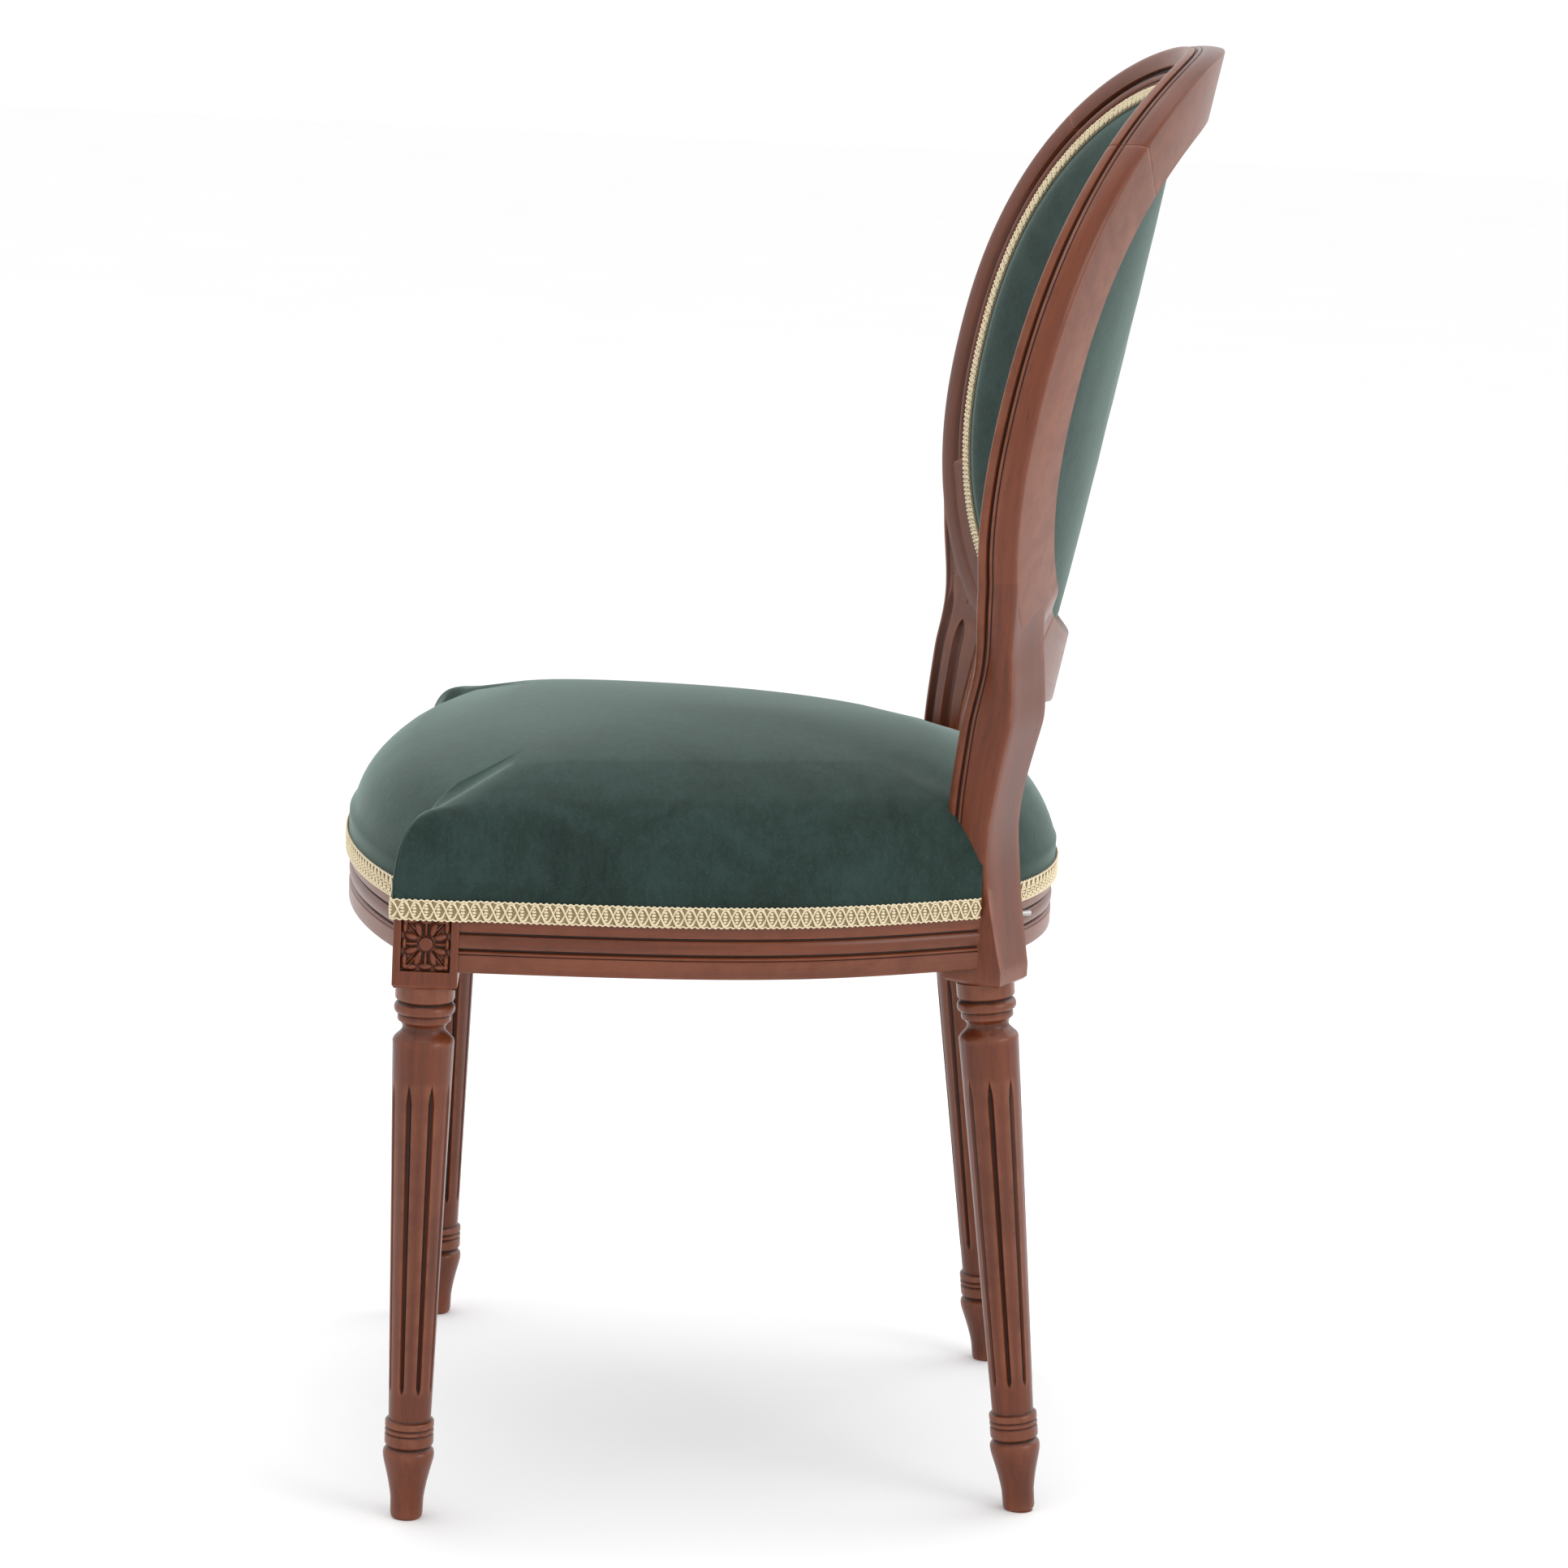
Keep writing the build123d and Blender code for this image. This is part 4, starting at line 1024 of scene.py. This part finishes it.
def crownAt(places, edges):
    # height over one place, from its eased distance to all the free edges
    total = 0
    for edge in edges:
        total = total + np.maximum(distanceTo(places, edge), 0.4) ** -cushion["evenness"]
    away = total ** (-1 / cushion["evenness"])
    steep = 1 - np.exp(-((away / cushion["reach"]) ** cushion["power"]))
    corner = (frontLegX + blockHalf, frontLegY - blockHalf)
    beside = np.linalg.norm(np.column_stack([np.abs(places[:, 0]), places[:, 1]]) - corner, axis=1)
    lift = cushion["cornerLift"] * np.exp(-((beside / cushion["cornerReach"]) ** 1.6))
    lift = lift * (1 - np.exp(-away / 3.0))
    return cushion["edge"] + cushion["rise"] * steep + cushion["climb"] * np.minimum(away, 200) / 200 + lift


def seatCushion():
    half = spread(frontEdgeHalf(cushion["outset"]), 3.4)
    corner = np.array((frontLegX + blockHalf + cushion["outset"], frontLegY - blockHalf - cushion["outset"]))
    near = np.argmin(np.linalg.norm(half - corner, axis=1))
    # close points at the corner, where the cloth is folded into a pleat
    before, after = half[:near - 2], half[near + 3:]
    dense = spread(half[near - 3:near + 4], 0.75)
    half = np.vstack([before, dense[2:-2], after])
    rear = spread(rearCurve(cushion["outset"], 80), 3.6)
    rear = rear[rear[:, 0] >= 0]
    postLine = spread(np.vstack([half[-1], rear[0]]), 4.0)[1:-1]
    side = np.vstack([half, postLine, rear])
    side = side[side[:, 0] > 1.5]
    # seen from the middle the edge must turn steadily, or the rings would fold over
    turns = np.arctan2(side[:, 1] - cushion["middleY"], side[:, 0])
    steady = [0]
    for number in range(1, len(side)):
        if turns[number] > turns[steady[-1]] + 0.0011:
            steady.append(number)
    side = side[steady]
    outline = np.vstack([side, side[::-1] * np.array((-1, 1))])
    normals = planNormals(outline, closed=True)
    near = np.argmin(np.linalg.norm(half - corner, axis=1))
    frontEdge = np.vstack([half[:near + 1], half[:near + 1] * (-1, 1)])
    edges = [frontEdge, half[near:], half[near:] * (-1, 1), np.vstack([rear, rear * (-1, 1)])]
    cornerAway = np.minimum(
        np.linalg.norm(outline - corner, axis=1), np.linalg.norm(outline - corner * (-1, 1), axis=1)
    )
    centre = np.array((0.0, cushion["middleY"]))
    signed = np.where(np.abs(outline[:, 0]) > np.abs(corner[0]) - 0.75, 1, -1) * cornerAway
    notch = cushion["pleatDepth"] * np.exp(-((signed - 0.3) / 1.5) ** 2)
    notch -= 0.9 * np.exp(-((signed - 4.2) / 2.4) ** 2) + 0.7 * np.exp(-((signed + 4.0) / 2.6) ** 2)

    def level(inset, z, notchShare):
        place = outline - normals * (inset + notch * notchShare)[:, None]
        return np.column_stack([place, np.full(len(place), z)])

    rings = []
    for u in (0.95, 0.7, 0.4, 0.15, 0.05):
        inner = outline + (centre - outline) * u
        rings.append(np.column_stack([inner, np.full(len(inner), railTop + 4.2)]))
    low = cushion["skirtLow"]
    for inset, z, share in (
        (2.0, railTop + 4.2, 0.0), (1.15, railTop + 3.0, 0.0), (1.15, low + 0.4, 0.0), (0.6, low, 0.0),
        (0.05, low + 0.5, 0.0), (0.0, 424.0, 0.2), (0.0, 429.5, 0.5), (0.0, 433.0, 0.85), (0.0, 437.0, 0.85),
        (0.0, 441.0, 0.85),
    ):
        rings.append(level(inset, z, share))
    reach = np.linalg.norm(outline - centre, axis=1)
    for step in (0.5, 1.2, 2.2, 3.6, 5.4, 7.6, 10.4, 13.8, 18.0, 23.0, 29.0, 36.0, 44.0):
        share = (step / reach)[:, None]
        inner = outline + (centre - outline) * share
        fade = float(np.clip(1 - step / 24.0, 0, 1)) ** 1.2
        z = crownHeight(inner, edges) - 0.8 * np.maximum(notch, 0) * fade
        rings.append(np.column_stack([inner - normals * (notch * fade)[:, None], np.maximum(z, 442.0)]))
    for u in np.linspace(0.24, 0.985, 24):
        inner = outline + (centre - outline) * np.maximum(u, 46.0 / reach * (1 - u) + u)[:, None]
        rings.append(np.column_stack([inner, crownHeight(inner, edges)]))
    return skin(np.array(rings))


def simulateCushion(piece, shape):
    # lets air pressure round the cover out, then smooths that and limits how far each point may go
    mesh = piece.data
    start = shape[0] / 1000
    group = piece.vertex_groups.new(name="held")
    heldBelow = cushion["heldBelow"] / 1000
    held = [i for i, p in enumerate(start) if p[2] < heldBelow]
    group.add(held, 1.0, "REPLACE")
    cloth = piece.modifiers.new("Cloth", "CLOTH")
    cloth.settings.vertex_group_mass = "held"
    cloth.settings.quality = 6
    cloth.settings.mass = 0.3
    cloth.settings.use_pressure = True
    cloth.settings.uniform_pressure_force = 4.0
    cloth.settings.effector_weights.gravity = 0
    cloth.settings.shrink_min = -0.012
    cloth.settings.bending_stiffness = 0.6
    cloth.collision_settings.use_collision = False
    cloth.point_cache.frame_start = 1
    cloth.point_cache.frame_end = 20
    for number in range(1, 21):
        bpy.context.scene.frame_set(number)
    deps = bpy.context.evaluated_depsgraph_get()
    moved = np.zeros(len(mesh.vertices) * 3)
    piece.evaluated_get(deps).data.vertices.foreach_get("co", moved)
    moved = moved.reshape(-1, 3)
    piece.modifiers.remove(cloth)
    piece.vertex_groups.clear()
    bpy.context.scene.frame_set(1)
    shift = moved - start
    limit = cushion["puff"] / 1000
    # the finest ripples are averaged out along the edges of the mesh
    ends = np.array([e.vertices[:] for e in mesh.edges])
    loose = start[:, 2] > heldBelow
    for _ in range(cushion["smoothing"]):
        total, met = np.zeros_like(shift), np.zeros(len(shift))
        for a, b in ((0, 1), (1, 0)):
            np.add.at(total, ends[:, a], shift[ends[:, b]])
            np.add.at(met, ends[:, a], 1)
        mean = total / np.maximum(met, 1)[:, None]
        shift = np.where(loose[:, None], 0.4 * shift + 0.6 * mean, 0.0)
    length = np.linalg.norm(shift, axis=1)
    scale = np.where(length > limit, limit / np.maximum(length, 1e-9), 1.0)
    print("cushion moved at most", round(float(length.max()) * 1000, 1), "mm before the limit")
    final = start + shift * scale[:, None]
    mesh.vertices.foreach_set("co", final.ravel())
    mesh.update()


cushionShape = seatCushion()
seatCushionPiece = newPiece("seatCushion", cushionShape, greenVelvet, 180)
simulateCushion(seatCushionPiece, cushionShape)
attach(seatCushionPiece, "root")
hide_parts("seat_cover", "seat_foam")
print("seat cushion made")

backPad = {
    # (inset from the outer wall, depth behind the frame's front) of the padded front panel
    "front": [
        (24.2, 2.6), (24.6, 1.4), (26.0, 0.9), (29.0, 0.7), (34.5, 0.3), (36.5, -1.0), (39.5, -2.6),
        (44.0, -4.0), (51.0, -5.2), (62.0, -6.1), (78.0, -6.8), (100.0, -7.3), (130.0, -7.6),
        (165.0, -7.8), (200.0, -7.9), (218.0, -7.9),
    ],
    # the same for the panel that closes the back from behind
    "rear": [
        (24.4, 5.4), (26, 7.0), (38.0, 7.3), (48.0, 7.8), (62.0, 8.5), (85.0, 9.2), (120.0, 9.7),
        (165.0, 10.0), (200.0, 10.0), (218.0, 10.0),
    ],
}


def ovalDisc(face, rearDepth):
    angles = np.linspace(0, 2 * math.pi, 220, endpoint=False)
    rings = []
    for inset, depth in [(inset, rearDepth) for inset in (218.0, 120.0, 60.0, 26.0)] + face:
        x, z = ovalPoint(angles, inset)
        rings.append(np.column_stack([x, backFront(x, z) + depth, z]))
    return skin(np.array(rings))


frontPanel = newPiece("backPanelFront", ovalDisc(backPad["front"], 3.0), greenVelvet, 180)
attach(frontPanel, "root")
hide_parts("back_cover_inner", "back_foam")

rearPanel = newPiece("backPanelRear", ovalDisc(backPad["rear"], 5.6), greenVelvet, 180)
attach(rearPanel, "root")
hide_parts("back_cover_outer")
print("back panels made")

seatGimp = {"pitch": 7.8, "height": 14.0, "cord": 0.62, "lift": 1.1, "middle": 422.6, "outset": 1.55}
backGimp = {"pitch": 6.6, "height": 9.0, "cord": 0.7, "lift": 1.2, "inset": 29.3, "depth": 0.6}


def geometryTree(name, floats):
    tree = bpy.data.node_groups.new(name, "GeometryNodeTree")
    tree.interface.new_socket("Geometry", in_out="INPUT", socket_type="NodeSocketGeometry")
    for label, default in floats:
        socket = tree.interface.new_socket(label, in_out="INPUT", socket_type="NodeSocketFloat")
        socket.default_value = default
    tree.interface.new_socket("Material", in_out="INPUT", socket_type="NodeSocketMaterial")
    tree.interface.new_socket("Geometry", in_out="OUTPUT", socket_type="NodeSocketGeometry")
    return tree, tree.nodes.new("NodeGroupInput").outputs, tree.nodes.new("NodeGroupOutput").inputs


def storedVector(tree, name):
    node = tree.nodes.new("GeometryNodeInputNamedAttribute")
    node.data_type = "FLOAT_VECTOR"
    node.inputs["Name"].default_value = name
    return node.outputs["Attribute"]


def scaledVector(tree, vector, amount):
    node = tree.nodes.new("ShaderNodeVectorMath")
    node.operation = "SCALE"
    tree.links.new(vector, node.inputs[0])
    feed(tree, amount, node.inputs["Scale"])
    return node.outputs[0]


def summed(tree, first, second):
    node = tree.nodes.new("ShaderNodeVectorMath")
    node.operation = "ADD"
    tree.links.new(first, node.inputs[0])
    tree.links.new(second, node.inputs[1])
    return node.outputs[0]


def resampledPath(tree, geometry, spacing):
    curve = tree.nodes.new("GeometryNodeMeshToCurve")
    tree.links.new(geometry, curve.inputs[0])
    resample = tree.nodes.new("GeometryNodeResampleCurve")
    resample.mode = "LENGTH"
    tree.links.new(curve.outputs[0], resample.inputs["Curve"])
    feed(tree, spacing, resample.inputs["Length"])
    return resample.outputs["Curve"]


def braidTree(name, strands, beads):
    # strands: (waves for each pitch, phase, swing, offset, thickness, weave)
    # beads: (offset, length, thickness); swing and offset are shares of the height
    tree, given, out = geometryTree(
        name, [("Pitch", 0.0078), ("Height", 0.014), ("Cord Radius", 0.0006), ("Lift", 0.001)]
    )
    path = resampledPath(tree, given["Geometry"], mathStep(tree, "DIVIDE", given["Pitch"], 11.0))
    length = tree.nodes.new("GeometryNodeSplineParameter").outputs["Length"]
    turns = mathStep(tree, "MULTIPLY", mathStep(tree, "DIVIDE", length, given["Pitch"]), 2 * math.pi)
    join = tree.nodes.new("GeometryNodeJoinGeometry")
    for waves, phase, swing, offset, thickness, weave in strands:
        angle = mathStep(tree, "ADD", mathStep(tree, "MULTIPLY", turns, waves), phase)
        wave = mathStep(tree, "SINE", angle)
        across = mathStep(tree, "ADD", mathStep(tree, "MULTIPLY", wave, swing), offset)
        across = mathStep(tree, "MULTIPLY", across, given["Height"])
        double = mathStep(tree, "COSINE", angle)
        lift = mathStep(tree, "MULTIPLY", mathStep(tree, "MULTIPLY", double, weave), given["Cord Radius"])
        lift = mathStep(tree, "ADD", lift, given["Lift"])
        moved = summed(tree, scaledVector(tree, storedVector(tree, "across"), across),
                       scaledVector(tree, storedVector(tree, "facing"), lift))
        place = tree.nodes.new("GeometryNodeSetPosition")
        tree.links.new(path, place.inputs["Geometry"])
        tree.links.new(moved, place.inputs["Offset"])
        ring = tree.nodes.new("GeometryNodeCurvePrimitiveCircle")
        ring.inputs["Resolution"].default_value = 5
        tree.links.new(mathStep(tree, "MULTIPLY", given["Cord Radius"], thickness), ring.inputs["Radius"])
        tube = tree.nodes.new("GeometryNodeCurveToMesh")
        tree.links.new(place.outputs[0], tube.inputs["Curve"])
        tree.links.new(ring.outputs[0], tube.inputs["Profile Curve"])
        tube.inputs["Fill Caps"].default_value = True
        tree.links.new(tube.outputs[0], join.inputs[0])
    if beads:
        halves = resampledPath(tree, given["Geometry"], mathStep(tree, "DIVIDE", given["Pitch"], 2.0))
        index = tree.nodes.new("GeometryNodeInputIndex").outputs[0]
        odd = mathStep(tree, "MODULO", index, 2.0)
        axes = tree.nodes.new("FunctionNodeAxesToRotation")
        axes.primary_axis = "Z"
        axes.secondary_axis = "X"
        tree.links.new(storedVector(tree, "facing"), axes.inputs[0])
        tree.links.new(tree.nodes.new("GeometryNodeInputTangent").outputs[0], axes.inputs[1])
        for offset, long, wide in beads:
            place = tree.nodes.new("GeometryNodeSetPosition")
            tree.links.new(halves, place.inputs["Geometry"])
            moved = summed(
                tree,
                scaledVector(
                    tree, storedVector(tree, "across"), mathStep(tree, "MULTIPLY", given["Height"], offset)),
                scaledVector(
                    tree, storedVector(tree, "facing"), mathStep(tree, "MULTIPLY", given["Lift"], 0.9)),
            )
            tree.links.new(moved, place.inputs["Offset"])
            bead = addNode(tree, "GeometryNodeMeshUVSphere")
            bead.inputs["Segments"].default_value = 6
            bead.inputs["Rings"].default_value = 4
            bead.inputs["Radius"].default_value = 1.0
            instance = tree.nodes.new("GeometryNodeInstanceOnPoints")
            tree.links.new(place.outputs[0], instance.inputs["Points"])
            tree.links.new(odd, instance.inputs["Selection"])
            tree.links.new(bead.outputs[0], instance.inputs["Instance"])
            tree.links.new(axes.outputs[0], instance.inputs["Rotation"])
            size = tree.nodes.new("ShaderNodeCombineXYZ")
            tree.links.new(mathStep(tree, "MULTIPLY", given["Pitch"], long), size.inputs[0])
            tree.links.new(mathStep(tree, "MULTIPLY", given["Cord Radius"], wide), size.inputs[1])
            tree.links.new(mathStep(tree, "MULTIPLY", given["Cord Radius"], 1.3), size.inputs[2])
            tree.links.new(size.outputs[0], instance.inputs["Scale"])
            tree.links.new(instance.outputs[0], join.inputs[0])
    real = tree.nodes.new("GeometryNodeRealizeInstances")
    tree.links.new(join.outputs[0], real.inputs[0])
    paint = tree.nodes.new("GeometryNodeSetMaterial")
    tree.links.new(real.outputs[0], paint.inputs["Geometry"])
    tree.links.new(given["Material"], paint.inputs["Material"])
    tree.links.new(paint.outputs[0], out["Geometry"])
    return tree


def pathPiece(name, line, across, facing, closed):
    mesh = bpy.data.meshes.new(name)
    count = len(line)
    edges = [(i, (i + 1) % count) for i in range(count if closed else count - 1)]
    mesh.from_pydata((np.array(line) / 1000).tolist(), edges, [])
    for label, values in (("across", across), ("facing", facing)):
        layer = mesh.attributes.new(label, "FLOAT_VECTOR", "POINT")
        layer.data.foreach_set("vector", np.array(values, float).ravel())
    piece = bpy.data.objects.new(name, mesh)
    bpy.context.scene.collection.objects.link(piece)
    return piece


def grown(name, path, tree, values, material):
    # runs the tree on the path and keeps the result as a plain mesh
    modifier = path.modifiers.new("grow", "NODES")
    modifier.node_group = tree
    for item in tree.interface.items_tree:
        if item.in_out == "INPUT" and item.name in values:
            modifier[item.identifier] = values[item.name]
        if item.in_out == "INPUT" and item.name == "Material":
            modifier[item.identifier] = material
    deps = bpy.context.evaluated_depsgraph_get()
    mesh = bpy.data.meshes.new_from_object(path.evaluated_get(deps))
    path.modifiers.remove(modifier)
    bpy.data.objects.remove(path)
    piece = bpy.data.objects.new(name, mesh)
    bpy.context.scene.collection.objects.link(piece)
    mesh.shade_smooth()
    if not mesh.materials:
        mesh.materials.append(material)
    markHollows(mesh)
    return piece


def tape(line, across, facing, half, thick, low, closed):
    # the flat woven ground under the cords
    section = ((-half, low), (-half, low + thick), (0, low + thick * 1.3), (half, low + thick), (half, low))
    rings = []
    for point, over, out in zip(line, across, facing):
        rings.append([point + over * a + out * b for a, b in section])
    return skin(np.array(rings), closedRun=closed)


def joinPieces(main, other):
    bpy.ops.object.select_all(action="DESELECT")
    main.select_set(True)
    other.select_set(True)
    bpy.context.view_layer.objects.active = main
    bpy.ops.object.join()
    return main


seatBraid = braidTree(
    "seatBraid",
    [
        (0.5, 0.0, 0.37, 0.0, 1.0, 0.7), (0.5, math.pi, 0.37, 0.0, 1.0, 0.7),
        (0.5, 0.0, 0.46, 0.0, 0.75, 0.7), (0.5, math.pi, 0.46, 0.0, 0.75, 0.7),
        (2.0, 0.6, 0.035, 0.455, 0.9, 0.4), (2.0, 0.6, 0.035, -0.455, 0.9, 0.4),
    ],
    [(-0.21, 0.16, 1.5), (-0.075, 0.23, 1.5), (0.075, 0.23, 1.5), (0.21, 0.16, 1.5)],
)
backBraid = braidTree(
    "backBraid",
    [
        (1.0, 0.0, 0.34, 0.0, 1.2, 0.8), (1.0, math.pi, 0.34, 0.0, 1.0, 0.8),
        (1.0, 0.9, 0.24, 0.12, 0.9, 0.6), (0.5, 0.0, 0.04, 0.0, 1.1, 0.0),
    ],
    [],
)


def addGimp(name, node, line, across, facing, settings, tree, closed):
    whole = np.vstack([line, line[:1]]) if closed else line
    length = np.linalg.norm(np.diff(whole, axis=0), axis=1).sum()
    pitch = length / (2 * round(length / settings["pitch"] / 2))
    values = {
        "Pitch": pitch / 1000, "Height": settings["height"] / 1000,
        "Cord Radius": settings["cord"] / 1000, "Lift": settings["lift"] / 1000,
    }
    cords = grown(name, pathPiece(name + "Path", line, across, facing, closed), tree, values, creamCord)
    ground = tape(line, across, facing, settings["height"] * 0.46, 0.55, 0.05, closed)
    piece = joinPieces(cords, newPiece(name + "Ground", ground, goldTape, 50))
    piece.name = name
    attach(piece, "root")
    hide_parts(node)
    print(name, "made,", len(piece.data.polygons), "faces")


def seatGimpLine(line):
    normals = planNormals(line)
    for _ in range(3):
        normals[1:-1] = (normals[:-2] + normals[1:-1] * 2 + normals[2:]) / 4
    normals /= np.linalg.norm(normals, axis=1)[:, None]
    count = len(line)
    full = np.column_stack([line, np.full(count, seatGimp["middle"])])
    across = np.tile((0.0, 0.0, 1.0), (count, 1))
    facing = np.column_stack([normals, np.zeros(count)])
    return full, across, facing


edgeHalf = frontEdgeHalf(seatGimp["outset"])
edgeHalf = edgeHalf[edgeHalf[:, 0] > 1.0]
frontEdge = spread(np.vstack([edgeHalf[::-1], edgeHalf * (-1, 1)]), 2.0)
addGimp("seatGimpFront", "seat_gimp_front", *seatGimpLine(frontEdge), seatGimp, seatBraid, False)
rearEdge = spread(rearCurve(seatGimp["outset"], 80), 2.0)
addGimp("seatGimpRear", "seat_gimp_rear", *seatGimpLine(rearEdge[3:-3]), seatGimp, seatBraid, False)


def backGimpLine():
    angles = np.linspace(0, 2 * math.pi, 420, endpoint=False)
    line = []
    for inset in (backGimp["inset"], backGimp["inset"] + 1):
        x, z = ovalPoint(angles, inset)
        line.append(np.column_stack([x, backFront(x, z) + backGimp["depth"], z]))
    across = line[1] - line[0]
    across /= np.linalg.norm(across, axis=1)[:, None]
    run = np.roll(line[0], -1, 0) - np.roll(line[0], 1, 0)
    facing = np.cross(across, run)
    facing /= np.linalg.norm(facing, axis=1)[:, None]
    facing = np.where(facing[:, 1:2] > 0, -facing, facing)
    return line[0], across, facing


addGimp("backGimpFront", "back_gimp", *backGimpLine(), backGimp, backBraid, True)

dustCover = {"lap": 16.0, "thick": 0.5, "sag": 3.0, "frontGap": 24, "postGap": 28, "postAhead": 30}


def underCover():
    inset = rails["thickness"] - dustCover["lap"]
    front = frontCurve(-inset, 60)[::-1]
    front = front[front[:, 0] > 0]
    front = front[front[:, 0] < frontLegX - dustCover["frontGap"]]
    side = sideCurve(-inset, 60)
    side = side[side[:, 1] > frontLegY + dustCover["frontGap"]]
    side = side[side[:, 1] < rearLeg["y"] - dustCover["postAhead"]]
    rear = rearCurve(-(rails["rearThickness"] - dustCover["lap"]), 50)
    rear = rear[rear[:, 0] > 0]
    rear = rear[rear[:, 0] < rearLeg["x"] - dustCover["postGap"]]
    half = spread(np.vstack([front, side, rear]), 9.0)
    outline = np.vstack([half, half[::-1] * (-1, 1)])
    centre = np.array((0.0, -30.0))
    top = railBottom - 0.05
    rings = []
    shares = (0.98, 0.8, 0.6, 0.4, 0.2, 0.08, 0.0)
    for order, drop in ((shares, 0.0), (shares[::-1], 1.0)):
        for share in order:
            inner = outline + (centre - outline) * share
            slack = math.sin(min(share * 1.6, 1) * math.pi / 2) ** 2
            sag = dustCover["sag"] * slack * (0 if share < 0.08 else 1)
            z = top - sag * 0.3 - drop * dustCover["thick"]
            rings.append(np.column_stack([inner, np.full(len(inner), z)]))
    return skin(np.array(rings)), outline


coverShape, coverOutline = underCover()
underCoverPiece = newPiece("underCover", coverShape, blackCambric, 60)
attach(underCoverPiece, "root")
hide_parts("dust_cover")

# nodes that stay as they are
finishes = {
    "corner_block_front_left": rawBeech, "corner_block_front_right": rawBeech,
    "corner_block_rear_left": rawBeech, "corner_block_rear_right": rawBeech,
    "corner_block_screws": screwSteel, "seat_rail_dowels": rawBeech, "back_frame_dowels": rawBeech,
    "seat_webbing_front_to_back": juteWebbing, "seat_webbing_side_to_side": juteWebbing,
    "seat_hessian": hessianCloth, "back_webbing_upright": juteWebbing, "back_webbing_level": juteWebbing,
    "back_hessian": hessianCloth,
}
for nodeName, finish in finishes.items():
    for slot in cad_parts[nodeName].material_slots:
        slot.material = finish

studio = {
    "place": (3.4517, -0.1059, 1.1396), "yaw": 0.0348, "pitch": 0.1925, "roll": 0.050, "lens": 115.19,
    "world": 1.08,
}


def studioFloor():
    material, tree, shader = newMaterial("paleFloor")
    place = tree.nodes.new("ShaderNodeTexCoord").outputs["Object"]
    soft = noise(tree, place, 3.0, 2)
    pale = blendColour(tree, soft, (0.9, 0.9, 0.9, 1), (0.92, 0.92, 0.92, 1))
    feed(tree, pale, shader.inputs["Base Color"])
    shader.inputs["Roughness"].default_value = 0.75
    mesh = bpy.data.meshes.new("studioFloor")
    size = 14.0
    corners = [(-size, -size, 0), (size, -size, 0), (size, size, 0), (-size, size, 0)]
    mesh.from_pydata(corners, [], [(0, 1, 2, 3)])
    mesh.materials.append(material)
    floor = bpy.data.objects.new("studioFloor", mesh)
    bpy.context.scene.collection.objects.link(floor)


def addLight(name, place, target, size, power, colour=(1, 1, 1)):
    light = bpy.data.lights.new(name, "AREA")
    light.shape = "RECTANGLE"
    light.size, light.size_y = size
    light.energy = power
    light.color = colour
    lamp = bpy.data.objects.new(name, light)
    lamp.location = place
    direction = Vector(target) - Vector(place)
    lamp.rotation_euler = direction.to_track_quat("-Z", "Y").to_euler()
    bpy.context.scene.collection.objects.link(lamp)


def studioCamera():
    yaw, pitch, roll = studio["yaw"], studio["pitch"], studio["roll"]
    d = Vector((-math.cos(yaw) * math.cos(pitch), math.sin(yaw) * math.cos(pitch), -math.sin(pitch)))
    r = d.cross(Vector((0, 0, 1))).normalized()
    u = r.cross(d)
    right = r * math.cos(roll) + u * math.sin(roll)
    up = -r * math.sin(roll) + u * math.cos(roll)
    camera = bpy.data.cameras.new("studioCamera")
    camera.lens = studio["lens"]
    camera.sensor_width = 36
    camera.clip_end = 100
    holder = bpy.data.objects.new("studioCamera", camera)
    turned = Matrix((right, up, -d)).transposed().to_4x4()
    holder.matrix_world = Matrix.Translation(Vector(studio["place"])) @ turned
    bpy.context.scene.collection.objects.link(holder)
    bpy.context.scene.camera = holder


studioFloor()
studioCamera()
bpy.context.scene.view_settings.view_transform = "Standard"
addLight("softTop", (-0.2, -0.3, 3.2), (0, 0, 0.4), (3.0, 3.0), 30)
addLight("softSide", (2.2, 3.0, 1.9), (0, 0, 0.6), (1.8, 1.8), 34)
addLight("softBehind", (-1.5, 2.6, 2.2), (0, 0.1, 0.6), (2.2, 2.2), 20, (0.92, 0.95, 1))
world = bpy.data.worlds.new("studioWorld")
world.use_nodes = True
world.node_tree.nodes["Background"].inputs["Color"].default_value = (1, 1, 1, 1)
world.node_tree.nodes["Background"].inputs["Strength"].default_value = studio["world"]
bpy.context.scene.world = world
print("studio made")
